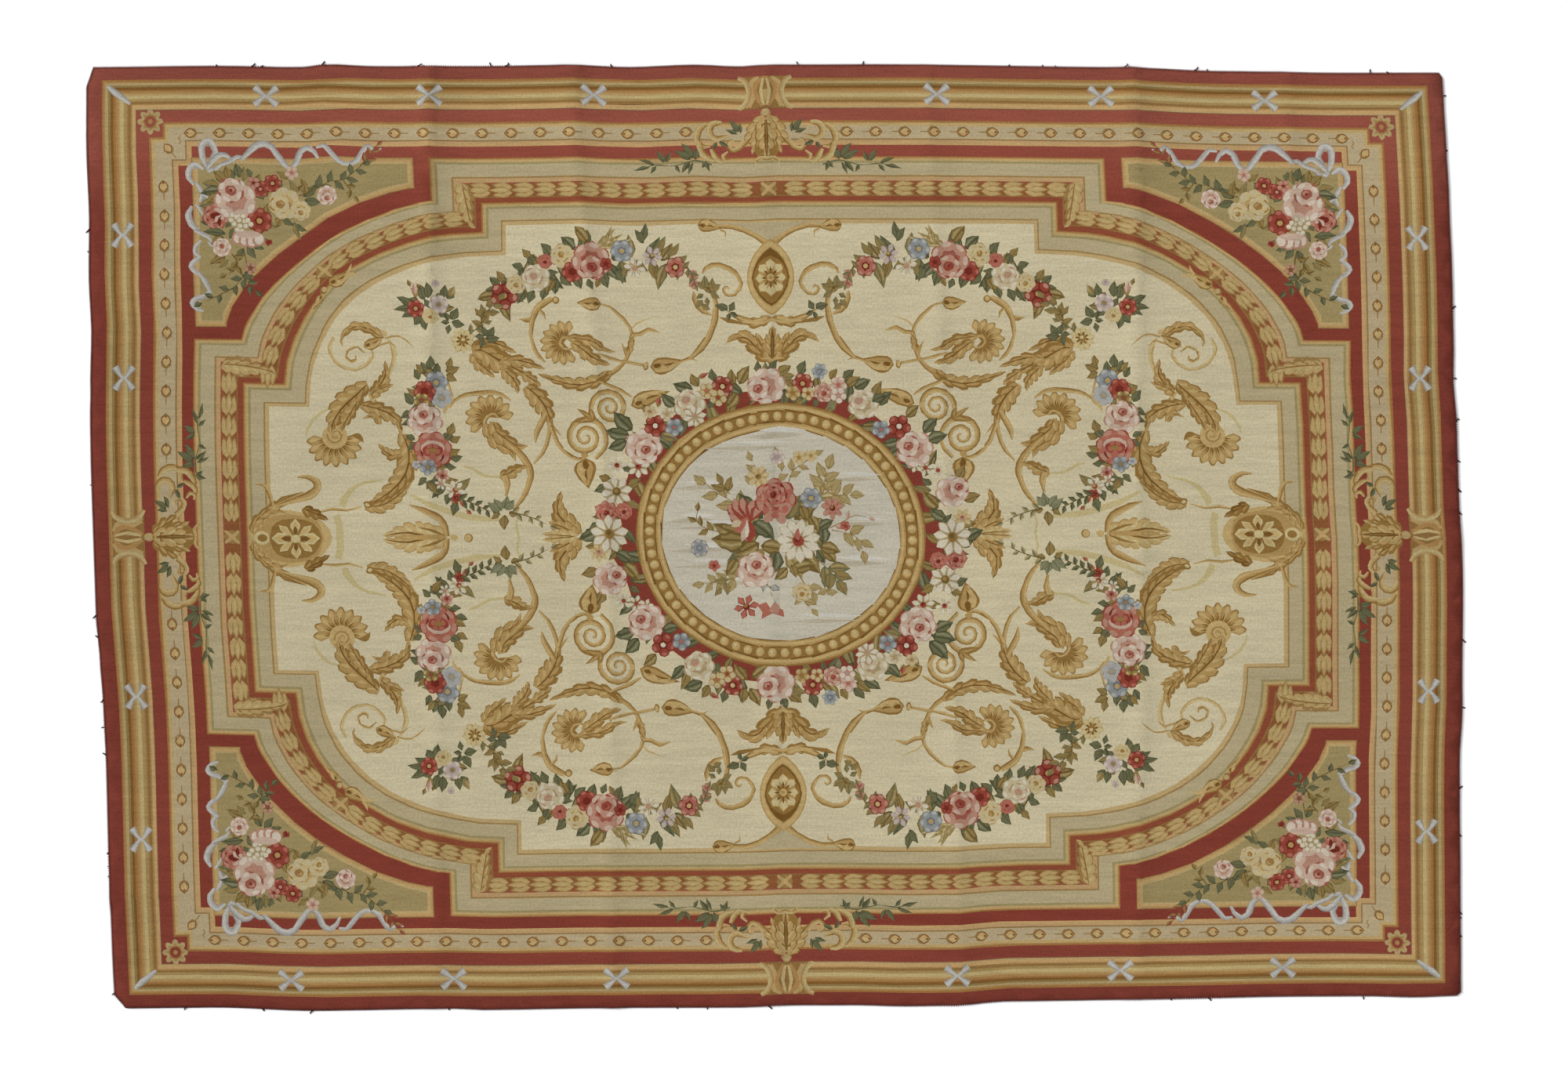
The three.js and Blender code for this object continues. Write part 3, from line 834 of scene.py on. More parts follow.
for u, v in ((1066, 648), (1074, 640), (1062, 638), (1084, 632), (1072, 628), (1060, 628), (1080, 646),
             (1090, 640), (1068, 618), (1078, 620), (1056, 640), (1050, 632), (1088, 650)):
    lay(oval(u, v, 6.6, 6.2, 0, 8), "creamShade")
    lay(oval(u - 0.5, v + 0.8, 5, 4.6, 0, 7), "whiteYarn")
rose(980, 676, 32, "yellow", 0.1, (0.25, -0.05))
rose(948, 662, 20, "yellow", 0.7, (0, -0.2))
for k, (u, v) in enumerate(((1076, 604), (1062, 600), (1048, 598), (1034, 602))):
    lay(oval(u, v, 13, 14, 0.2, 10), "roseMid")
    lay(oval(u - 1, v + 1, 9.5, 11, 0.2, 9), "rosePale")
lay(oval(1056, 612, 26, 8, 0, 12), "roseLight")
rose(1108, 585, 19, "pink", 0.8, (0, 0.1))
rose(894, 688, 20, "pink", 0.2, (0, -0.25))
blossom(963, 738, 13, ("roseMid", "roseLight", "creamYarn"), "redLight")
blossom(1013, 597, 7, redFlower, "redDark")
print("panel flowers drawn")

# Small pieces on the inner line of the frame
lay(oval(903, 498, 8, 8, 0, 9), "lowBrown")
lay(oval(902, 499, 5.5, 5.5, 0, 8), "innerTan")
husk((893, 508), (845, 536), 24)
blade((862, 526), (828, 528), 8, "goldLight", -0.1)
blade((858, 530), (846, 552), 6, "goldLight", 0.1)
husk((908, 488), (920, 464), 14)
vine([(912, 476), (924, 468), (930, 456)], (6, 6, 3))

# Top and bottom middle: the frame dips to an almond medallion
lay([(0, 634), (130, 634), (128, 626), (100, 628), (79, 627), (50, 618), (27, 605), (0, 594)], "frameBeige")
vine([(118, 625), (98, 627), (76, 627), (50, 619), (27, 606), (6, 590)], (5, 9, 11, 10, 10, 14),
     golds, -1)
husk((146, 628), (98, 622), 24, -1)
stroke([(100, 620), (90, 615), (90, 602)], (5, 4, 1.5), "goldMid")
almond = {"middle": (0, 523), "side": [(0, 600), (20, 586), (39, 560), (48, 528), (44, 497), (28, 468),
                                       (10, 450), (0, 445)]}
copying["way"] = "quarter"
for share, yarn in ((1.0, "goldMid"), (0.95, "goldLight"), (0.8, "goldMid"), (0.76, "goldDeep")):
    side = smoothPath((np.array(almond["side"]) - almond["middle"]) * share + almond["middle"], 8)
    lay(np.vstack([[(0, side[0][1])], side, [(0, side[-1][1])]]), yarn)
lay(smoothPath([(0, 566), (19, 556), (32, 536), (34, 516), (24, 492), (9, 474), (0, 468)], 8), "goldDark")
copying["way"] = "ends"
for yarn, reach, wide, near in (("goldMid", 36, 23, 8), ("goldPale", 34, 17, 12), ("goldDeep", 21, 5, 6)):
    for k in range(8):
        angle = k * math.pi / 4 + math.pi / 2
        way = towards(angle, 0.88, 1.08)
        blade(np.array([0, 521]) + way * near, np.array([0, 521]) + way * reach, wide, yarn, 0, 1.25, 5)
lay(oval(0, 521, 8, 8, 0, 10), "goldLight")
lay(oval(0, 521, 4, 4, 0, 7), "goldMid")
copying["way"] = "quarter"
acanthus([(4, 441), (30, 431), (58, 438), (86, 452)], 21, 4)
vine([(0, 438), (14, 435), (29, 432), (49, 438), (75, 448), (90, 456)], (10, 11, 11, 9, 7, 3), golds, -1)
blade((108, 443), (50, 432), 10, "goldDark", 0.05)
stroke([(60, 434), (34, 434), (10, 440)], (3, 8, 5), "goldLight")
acanthus([(2, 352), (26, 376), (50, 402), (76, 404), (95, 390)], 34, 4)
acanthus([(4, 356), (20, 384), (34, 412)], 26, 3)
acanthus([(0, 350), (0, 388), (0, 424)], 40, 4)
vine([(0, 350), (10, 356), (22, 358)], (14, 9, 3))

# C scroll, long stem and leaves beside the almond
vine([(138, 530), (130, 541), (118, 547), (103, 548), (83, 542), (67, 528), (60, 513), (66, 497),
      (79, 488), (91, 490), (96, 499), (89, 505), (84, 501)], (5, 9, 11, 11, 11, 11, 10, 9, 8, 8, 7, 6, 4))
vine([(157, 494), (155, 480), (149, 466), (138, 454), (122, 446)], (5, 12, 14, 11, 5), golds, -1)
vine([(116, 488), (113, 470), (114, 448), (117, 432), (123, 414), (136, 388), (152, 370), (170, 357)],
     (8, 11, 13, 13, 13, 13, 11, 7))
for table, tones in (([(90, 458, 98, 470, 11), (88, 458, 112, 466, 12), (86, 456, 76, 474, 11),
                       (84, 454, 70, 446, 9), (86, 452, 88, 438, 9)], greens),
                     ([(122, 498, 118, 520, 14), (124, 496, 104, 508, 13), (124, 494, 106, 482, 12),
                       (132, 498, 148, 512, 14), (134, 502, 134, 524, 13), (136, 488, 150, 480, 12),
                       (130, 482, 128, 466, 11), (138, 476, 152, 462, 10),
                       (146, 520, 164, 524, 12), (142, 468, 126, 458, 9)], mixedLeaf)):
    leaves(table, tones)
blossom(157, 527, 10, pinkFlower)
blossom(156, 508, 9, pinkFlower)
blossom(126, 500, 9, ("oliveDark", "oliveMid", "roseMid"))

# Gold scrollwork of the field
daisy(626, 398, 24, ("goldMid", "goldPale"), ("goldDark", "goldPale"), 10)
petals(626, 398, 8, 10, 2.4, 4.2, "goldDeep", 0.2, 6)
acanthus([(609, 377), (590, 388), (566, 392), (540, 383), (516, 371)], 26, 4)
acanthus([(607, 374), (594, 352), (577, 338), (559, 322)], 24, 4)
acanthus([(607, 377), (585, 376), (562, 361), (535, 347), (508, 333), (488, 318)], 44, 6)
acanthus([(552, 356), (520, 357), (490, 350), (458, 338)], 24, 4)
acanthus([(545, 340), (526, 322), (516, 306), (514, 290)], 26, 4)
acanthus([(504, 330), (488, 320), (466, 303)], 22, 3)
acanthus([(500, 304), (480, 288), (461, 262), (451, 236), (449, 218)], 38, 5, golds, 0.8)
vine([(456, 250), (470, 225), (478, 208), (480, 190)], (8, 14, 12, 3))
vine([(452, 232), (442, 218), (428, 204)], (7, 7, 2))
vine([(450, 226), (454, 198), (466, 169), (484, 148)], (9, 9, 8, 5))
vine([(449, 224), (434, 186), (414, 165), (394, 156), (380, 160)], (8, 9, 9, 8, 5))
fanShell(572, 243, 47, -52, 186, 9)
vine([(556, 243), (562, 249), (572, 247), (581, 236), (580, 220)], (5, 6, 7, 8, 9))
acanthus([(582, 232), (566, 202), (546, 184), (528, 172), (520, 152)], 28, 4, golds, 0.7)
acanthus([(566, 236), (558, 212), (540, 198), (518, 184), (494, 184)], 30, 4, golds, 0.7)
vine([(540, 196), (520, 178), (504, 160), (494, 142), (491, 125), (496, 104), (508, 80), (528, 56)],
     (8, 12, 14, 15, 13, 11, 9, 5))
stroke([(625, 144), (606, 139), (592, 129), (574, 123), (554, 123)], (4, 7, 6, 5, 3), "mistGold")
acanthus([(555, 123), (535, 128), (515, 140), (494, 142)], 24, 4)
vine([(544, 122), (540, 104), (541, 84)], (10, 10, 3))
stroke([(532, 143), (512, 142)], (5, 4), "goldDark")
vine([(652, 262), (642, 276), (624, 287), (597, 292), (566, 293), (546, 288), (528, 277)],
     (5, 7, 9, 10, 10, 9, 4))
vine([(655, 330), (654, 312), (648, 294), (645, 284)], (3, 4, 5, 5), golds)
blade((642, 284), (664, 246), 12, "goldLight", 0.1)
# First shell with its tail
fanShell(422, 391, 46, -128, 118, 10)
vine([(404, 381), (412, 377), (424, 380), (431, 391), (424, 402), (406, 402), (391, 398)],
     (4, 6, 7, 7, 7, 8, 8))
acanthus([(416, 401), (391, 398), (362, 392), (342, 379), (316, 374)], 22, 4, golds, 0.8)
acanthus([(408, 392), (388, 380), (366, 362), (344, 352), (326, 348)], 26, 4, golds, 0.8)
vine([(352, 370), (330, 362), (306, 356)], (5, 7, 5))
vine([(443, 480), (456, 474), (472, 463), (482, 446), (488, 420), (485, 392), (476, 369), (458, 352)],
     (10, 15, 13, 10, 9, 9, 9, 4))
lay(oval(436, 477, 8, 8, 0, 9), "goldDark")
lay(oval(436, 478, 5, 5, 0, 7), "goldLight")
acanthus([(486, 442), (497, 438), (513, 441)], 10, 2)
vine([(470, 458), (462, 450), (458, 438)], (6, 7, 2))
husk((344, 470), (394, 472), 24, -1)
vine([(344, 470), (328, 465), (314, 454), (300, 441), (288, 425)], (5, 6, 7, 8, 6))
vine([(288, 425), (283, 402), (288, 378), (298, 356), (316, 337), (342, 322)], (7, 8, 8, 9, 11, 12))
acanthus([(322, 334), (355, 314), (395, 307), (435, 316), (474, 330)], 26, 6, golds, 0.9)
blade((356, 316), (330, 338), 9, "goldDark", 0.2)
stroke([(284, 422), (274, 433), (253, 441), (237, 448)], (4, 3.5, 2.5, 1.2), "goldLight")
vine([(290, 400), (282, 410), (268, 411), (251, 420), (228, 414)], (5, 9, 9, 8, 3))
acanthus([(290, 372), (286, 392), (279, 410)], 14, 3)
blade((296, 362), (306, 394), 7, "goldMid", 0.1)
vine([(306, 356), (288, 354), (272, 351), (258, 347)], (6, 6, 6, 6))
lay(oval(255, 346, 6, 9, 0.2, 9), "goldDark")
lay(oval(255, 347, 4, 6.5, 0.2, 8), "goldLight")
husk((246, 344), (178, 356), 30, 1)
vine([(190, 352), (176, 356), (160, 366), (146, 382), (134, 400)], (5, 8, 8, 8, 8))
stroke([(172, 358), (160, 358), (150, 353)], (3, 3, 1.2), "goldMid")
vine([(348, 314), (328, 306), (306, 297), (284, 284)], (5, 8, 8, 5))
husk((286, 266), (206, 294), 28, -1)
# Linked spirals and the pendant husk
vine(spiralPoints(329, 261, 42, 4, -68, 2.35), (9, 11, 11, 10, 8, 5))
vine(spiralPoints(379, 200, 47, 4, 246, -2.4), (7, 11, 12, 11, 9, 5), golds, -1)
lay(oval(301, 263, 6, 7, 0, 8), "goldLight")
for tip in ((396, 258), (367, 258), (401, 230)):
    blade((362, 232), tip, 11, "goldDark", 0.06)
    blade((364, 235), np.array(tip) * 0.85 + np.array((364, 235)) * 0.15, 5, "goldMid", 0.06)
lay(oval(381, 164, 8, 6, 0, 9), "goldMid")
husk((381, 157), (375, 96), 38, 1)
# Left and right scrolls
vine([(812, 288), (795, 302), (778, 322), (768, 345), (762, 368), (769, 388), (778, 400)],
     (6, 10, 12, 10, 8, 7, 5), paleGolds)
acanthus([(812, 286), (796, 300), (780, 326), (782, 358)], 26, 5)
acanthus([(800, 296), (784, 302), (764, 310)], 16, 3)
vine([(766, 350), (764, 372), (772, 388)], (9, 9, 6), paleGolds)
acanthus([(789, 404), (812, 420), (842, 426), (864, 411), (872, 396), (868, 382)], 20, 5)
vine([(812, 384), (808, 366), (820, 349), (842, 338), (866, 342), (886, 358), (895, 382), (886, 402)],
     (6, 7, 7, 7, 7, 8, 8, 6), paleGolds)
vine([(824, 372), (838, 384), (856, 378), (861, 364), (852, 354), (841, 358), (842, 366)],
     (4, 5, 6, 6, 6, 6, 4))
husk((826, 384), (784, 406), 20, 1)
stroke([(784, 402), (762, 407), (744, 401), (723, 381)], (4, 4, 3.5, 1.5), "goldMid")
stroke([(796, 388), (784, 392), (770, 393), (757, 380)], (4, 4, 4, 1.5), "goldMid")
blade((780, 406), (792, 420), 8, "goldLight", 0.1)
vine([(814, 290), (806, 278), (796, 272), (785, 272)], (6, 8, 7, 4))
vine([(832, 264), (816, 272), (800, 282)], (4, 6, 4), paleGolds)
stroke([(895, 259), (914, 250), (930, 236), (940, 218), (942, 206)], (3, 6, 7, 6, 3), "mistGold")
fanShell(884, 196, 54, -195, 12, 9, 0.98)
lay(oval(884, 203, 26, 26, 0, 16), "goldLight")
acanthus([(816, 312), (842, 288), (870, 262), (888, 232), (892, 206)], 44, 6, golds, 1.1)
acanthus([(836, 278), (852, 252), (866, 228), (874, 210)], 24, 4, golds, 1.0)
vine(spiralPoints(882, 204, 20, 3, 10, -1.6), (6, 7, 7, 5))
blade((850, 206), (826, 190), 12, "goldDark", -0.2)
acanthus([(832, 266), (808, 262), (780, 252), (758, 236), (749, 208)], 30, 5, golds, 0.9)
acanthus([(790, 228), (806, 246), (829, 238)], 14, 3)
acanthus([(750, 212), (738, 180), (738, 150), (752, 118), (784, 88), (826, 64)], 40, 8, golds, 0.8)
acanthus([(748, 172), (768, 166), (784, 176), (797, 190)], 22, 4)
acanthus([(828, 62), (792, 64), (758, 84), (729, 114)], 26, 6)
lay(oval(822, 66, 9, 7, 0.4, 9), "goldDark")
lay(oval(822, 66, 5, 4, 0.4, 7), "goldPale")
vine([(835, 61), (852, 56), (870, 54), (893, 57), (916, 53)], (4, 5, 6, 6, 4))
stroke([(877, 72), (868, 84), (852, 98), (826, 110), (790, 117)], (5, 7, 7, 6, 3), "mistGold")
stroke([(885, 44), (880, 24), (880, 0)], (14, 15, 15), "mistGold")
stroke([(874, 62), (862, 84), (846, 99)], (13, 11, 5), "mistGold")

# Oval rosette in its acanthus frame, at the middle of the short sides
lay(smoothPath([(1058, 0), (1054, 20), (1040, 42), (1018, 54), (985, 58), (950, 52), (920, 38), (900, 16),
                (895, 0)], 10), "goldLight")
lay(smoothPath([(1046, 0), (1040, 20), (1024, 38), (1000, 48), (968, 48), (940, 42), (920, 28), (912, 0)],
               10), "goldMid")
lay(smoothPath([(1022, 0), (1016, 22), (1000, 36), (968, 41), (938, 34), (922, 18), (916, 0)], 10),
    "goldDark")
for yarn, wide, near, far in (("goldPale", 17, 8, 49), ("goldLight", 11, 10, 44), ("goldDeep", 8, 7, 30)):
    for angle in (0, 180):
        way = math.cos(math.radians(angle))
        blade((969 + way * near, 0), (969 + way * far, 0), wide * 1.5, yarn, 0, 1.2, 6)
    blade((969, near), (969, 36 * far / 49 + 4), wide * 1.2, yarn, 0, 1.2, 6)
    for way in (-1, 1):
        if yarn != "goldDeep":
            tip = (969 + way * 33 * far / 49, 27 * far / 49)
            blade((969 + way * near * 0.7, near * 0.6), tip, wide * 0.9, yarn, 0, 1.2, 5)
lay(oval(969, 0, 10, 9, 0, 10), "goldPale")
lay(oval(1037, 0, 16, 14, 0, 12), "goldPale")
lay(oval(1036, 0, 10, 8, 0, 10), "goldDark")
acanthus([(1056, 6), (1048, 30), (1028, 50), (1004, 56), (982, 50)], 20, 5)
acanthus([(1040, 42), (1012, 62), (984, 78), (960, 84), (936, 78)], 20, 5)
vine([(1020, 62), (996, 72), (972, 84), (950, 94)], (6, 8, 8, 5))
vine([(1012, 64), (1016, 80), (1020, 95), (1030, 107), (1046, 108)], (5, 9, 9, 6, 2))
vine([(1004, 66), (968, 78), (936, 88), (921, 103), (926, 117), (943, 125), (962, 124)],
     (4, 9, 14, 18, 16, 10, 3))
acanthus([(954, 61), (930, 50), (901, 35)], 22, 3, ("goldDeep", "goldDark", "goldMid"))

# Palmette, beads and pale bands on the long axis
lay(oval(650, 0, 8, 7.5, 0, 10), "goldLight")
lay(oval(621, 0, 9, 9, 0, 10), "goldDark")
lay(oval(622, 0, 7, 7.5, 0, 9), "goldLight")
acanthus([(664, 2), (700, 4), (745, 12), (794, 4)], 44, 6, paleGolds)
blade((666, 2), (724, 20), 6, "goldDark", 0.05)
blade((664, 0), (756, 4), 6, "goldMid", 0)
vine([(664, 2), (667, 20), (678, 38), (704, 52), (738, 66)], (10, 14, 15, 12, 3), golds, -1)
stroke([(734, 86), (704, 69), (671, 56), (614, 41), (556, 36)], (5, 12, 13, 13, 6), "mistGold")
acanthus([(398, 2), (416, 22), (438, 50), (431, 92)], 36, 5)
acanthus([(402, 2), (428, 20), (460, 30)], 26, 4)
acanthus([(402, 0), (436, 4), (474, 6)], 22, 4, paleGolds)
stroke([(519, 44), (524, 24), (520, 0)], (3, 5, 5), "mistGold")
vine([(540, 124), (536, 108), (544, 84)], (7, 8, 3))
print("scrollwork drawn:", len(drawn), "outlines")

# Garlands of the field: leaves first, then sprigs, then flowers
leafMix = (greens, olives, greens, mixedLeaf, ("leafDark", "oliveMid", "leafLight"))


def strew(points, size, pairs, ahead=1.15, mix=leafMix):
    # Leaves lying outwards on both sides of a path
    line = smoothPath(points, 3)
    for k in range(pairs):
        for side in (-1, 1):
            place, heading = headingAt(line, (k + 0.5 + 0.22 * side) / pairs)
            turn = heading + side * (ahead + 0.38 * math.sin(k * 2.4 + side))
            reach = size * (0.9 + 0.22 * math.sin(k * 1.7 + side * 2))
            leaf(place, place + reach * towards(turn), reach * 0.34, mix[(2 * k + (side > 0)) % len(mix)])


def burst(u, v, reachU, reachV, count, width, turn=0.0, mix=leafMix, start=0.45):
    # Leaves pointing outwards all round a bunch
    for k in range(count):
        angle = turn + (k + 0.2 * math.sin(k * 2.1)) * 2 * math.pi / count
        way = towards(angle, reachU, reachV) * (0.94 + 0.12 * math.sin(k * 1.9))
        leaf(way * start + (u, v), way + (u, v), width, mix[k % len(mix)])


strew([(562, 494), (540, 490), (514, 506), (474, 524), (438, 552), (400, 552), (362, 556), (318, 558),
       (280, 560), (240, 564), (200, 548)], 46, 12)
strew([(556, 496), (474, 526), (420, 556), (362, 560), (290, 560)], 36, 7, 0.8)
strew([(664, 336), (680, 312), (700, 290), (706, 262), (704, 236), (694, 205), (688, 176), (694, 145),
       (672, 120), (652, 96), (636, 76)], 40, 10)
burst(692, 468, 46, 44, 9, 15, 0.3)
leaves([(394, 578, 420, 602, 22), (374, 588, 368, 614, 18), (498, 540, 520, 550, 20),
        (478, 548, 490, 572, 18), (444, 568, 462, 590, 18), (548, 505, 566, 524, 16),
        (548, 496, 574, 500, 14), (496, 498, 512, 474, 18), (478, 498, 490, 474, 18),
        (452, 506, 462, 480, 18), (432, 522, 436, 492, 20), (424, 530, 404, 508, 16),
        (392, 532, 384, 502, 18), (368, 520, 360, 500, 18), (338, 536, 330, 506, 18),
        (310, 544, 294, 518, 16), (262, 596, 252, 632, 12), (256, 594, 272, 620, 11)], greens)
leaves([(540, 514, 552, 536, 14), (558, 490, 590, 482, 16), (486, 562, 500, 580, 12),
        (368, 592, 392, 622, 22), (438, 520, 452, 494, 16), (470, 538, 474, 562, 14),
        (344, 520, 352, 504, 16), (242, 560, 230, 520, 10), (222, 560, 200, 590, 16)], olives)
for base, tip in (((350, 586), (312, 624)), ((346, 582), (296, 614)), ((336, 584), (280, 604)),
                  ((330, 590), (320, 630))):
    acanthus([base, tip], 12, 4, paleLeaf, 0.8, "oliveDark")
leaves([(238, 570, 214, 604, 13), (208, 566, 186, 590, 12), (190, 554, 170, 566, 12),
        (286, 548, 296, 526, 12), (184, 544, 188, 520, 10)], mixedLeaf)
blossom(540, 488, 26, crimsonFlower, "goldMid", 5, 0.2)
rose(514, 511, 20, "yellow", 0.2)
rose(474, 523, 28, "white", 0.5, (0.15, 0.1))
rose(455, 556, 15, "red", 0.3)
rose(420, 566, 24, "yellow", 0.9, (0.1, 0.1))
blossom(400, 534, 20, redFlower, "redDark", 6)
rose(362, 556, 38, "rosy", 0.3, (-0.05, -0.28))
blossom(332, 552, 12, redFlower, "redDark")
blossom(300, 579, 21, blueFlower, "yellowMid", 6)
daisy(274, 545, 21, daisyTone, ("roseMid", "yellowMid"), 6)
daisy(239, 568, 20, ("lilacMid", "lilacLight"), ("oliveDark", "yellowMid"), 6)
blossom(192, 544, 20, ("redDark", "redLight", "roseMid"), "goldLight", 6)
sprig([(180, 544), (166, 540), (158, 526), (152, 508)], 17, mixedLeaf, 2, 0.2)
sprig([(586, 444), (566, 466), (552, 480)], 24, mixedLeaf, 2, 0.2)
sprig([(586, 424), (588, 444), (576, 466)], 24, olives, 2, 0.1)
sprig([(612, 410), (596, 424), (580, 432)], 18, mixedLeaf, 1, 0.3)
leaves([(578, 404, 564, 424, 14), (580, 402, 554, 403, 14), (582, 402, 600, 406, 13),
        (582, 400, 590, 384, 11), (580, 406, 586, 426, 12)], greens)
# Small bouquet near the shoulder of the frame
sprig([(708, 470), (720, 486), (728, 506)], 18, olives, 1, 0.3)
leaves([(724, 466, 754, 484, 12), (724, 462, 760, 460, 10), (722, 458, 746, 446, 10),
        (702, 478, 708, 506, 14), (692, 482, 694, 512, 13), (708, 448, 722, 430, 15),
        (702, 448, 700, 420, 16), (656, 482, 640, 502, 14), (664, 484, 658, 508, 13),
        (690, 462, 700, 480, 12), (650, 440, 636, 462, 14), (648, 436, 624, 430, 15),
        (652, 434, 668, 434, 14), (652, 430, 656, 412, 12), (654, 438, 660, 454, 13)], greens)
bud((716, 484), (722, 514), 14, pinkFlower)
bud((650, 486), (638, 508), 15, olives)
blossom(719, 462, 17, redFlower, "yellowMid", 6, 0.2)
blossom(672, 470, 18, lilacFlower, "oliveMid", 6)
rose(690, 446, 16, "yellow", 0.4)
blossom(676, 512, 7, lilacFlower, "lilacMid")
# Side garland
leaves([(700, 330, 708, 352, 14), (692, 338, 690, 364, 13), (680, 326, 676, 350, 12),
        (712, 318, 722, 338, 13), (726, 268, 742, 290, 18), (724, 252, 748, 242, 18),
        (722, 198, 740, 204, 20), (716, 190, 736, 178, 20), (668, 196, 648, 214, 16),
        (654, 160, 630, 164, 16), (662, 144, 642, 142, 14), (700, 120, 716, 106, 14),
        (690, 116, 700, 98, 13), (652, 92, 662, 68, 14), (640, 72, 650, 46, 13)], greens)
leaves([(706, 330, 718, 348, 12), (660, 336, 634, 344, 13), (658, 330, 638, 318, 12),
        (656, 340, 650, 362, 12), (720, 284, 736, 300, 13), (656, 206, 646, 230, 14),
        (652, 194, 632, 204, 15), (656, 168, 634, 178, 12), (696, 112, 680, 90, 11)], olives)
blossom(678, 312, 22, blueFlower, "yellowMid", 6)
blossom(668, 282, 20, ("blueMid", "ribbonMid", "blueLight"), "creamShade", 6, 0.9)
blossom(701, 294, 21, redFlower, "redDark", 6, 0.5)
blossom(708, 276, 15, ("oliveDark", "oliveMid", "goldLight"), "redMid")
rose(702, 236, 34, "pink", 0.2, (0.05, 0.3))
rose(687, 176, 37, "red", 0.6, (0, -0.1))
lay(oval(687, 180, 24, 16, 0, 16), "roseLight")
lay(oval(687, 176, 21, 13, 0, 16), "redMid")
petals(687, 176, 5, 10, 6, 5, "redLight", 0.3, 7)
lay(oval(687, 175, 8, 5, 0, 9), "yellowDark")
blossom(697, 141, 16, blueFlower, "yellowDark")
blossom(721, 147, 8, ("blueMid", "blueLight", "ribbonLight"), "blueMid")
blossom(669, 124, 13, pinkFlower, "redDark")
daisy(672, 108, 12, daisyTone, ("roseMid", "yellowMid"), 6)
daisy(644, 96, 19, daisyTone, ("redMid", "yellowMid"), 6)
blossom(642, 80, 10, redFlower, "redDark")
sprig([(640, 80), (622, 74), (606, 68), (588, 58), (570, 52)], 19, greens, 4, 0.1)
bud((624, 56), (612, 48), 9)
bud((634, 76), (630, 62), 8)
leaves([(548, 58, 540, 82, 16), (544, 56, 528, 74, 14), (552, 54, 566, 76, 12),
        (556, 50, 578, 70, 12)], ("leafMid", "leafLight", "blueLight"))
leaves([(546, 46, 548, 18, 16), (556, 48, 572, 38, 14), (538, 50, 520, 46, 10)], olives)
sprig([(536, 52), (512, 46), (488, 38), (456, 22)], 17, ("leafMid", "oliveLight", "leafLight"), 3, 0.15)
print("garlands drawn:", len(drawn), "outlines")

# Round medallion: red ground, wreath, beaded ring and bouquet
ringPlan = {"centre": (8, 1), "outer": (292, 267), "bands": (
    (0, "goldDark"), (3, "goldMid"), (7, "goldLight"), (12, "goldMid"), (15, "goldDeep"), (17, "goldDark"),
    (38, "goldDeep"), (40, "goldMid"), (43, "goldLight"), (48, "goldMid"), (51, "goldDeep"),
    (53, "medallion")), "beadInset": 27.5, "beads": 66}
copying["way"] = "once"
centreU, centreV = ringPlan["centre"]


def halfTurned(flip):
    # The left side as it is, or turned half round to the right
    return lambda u, v: (u, v) if flip == 1 else (2 * centreU - u, 2 * centreV - v)


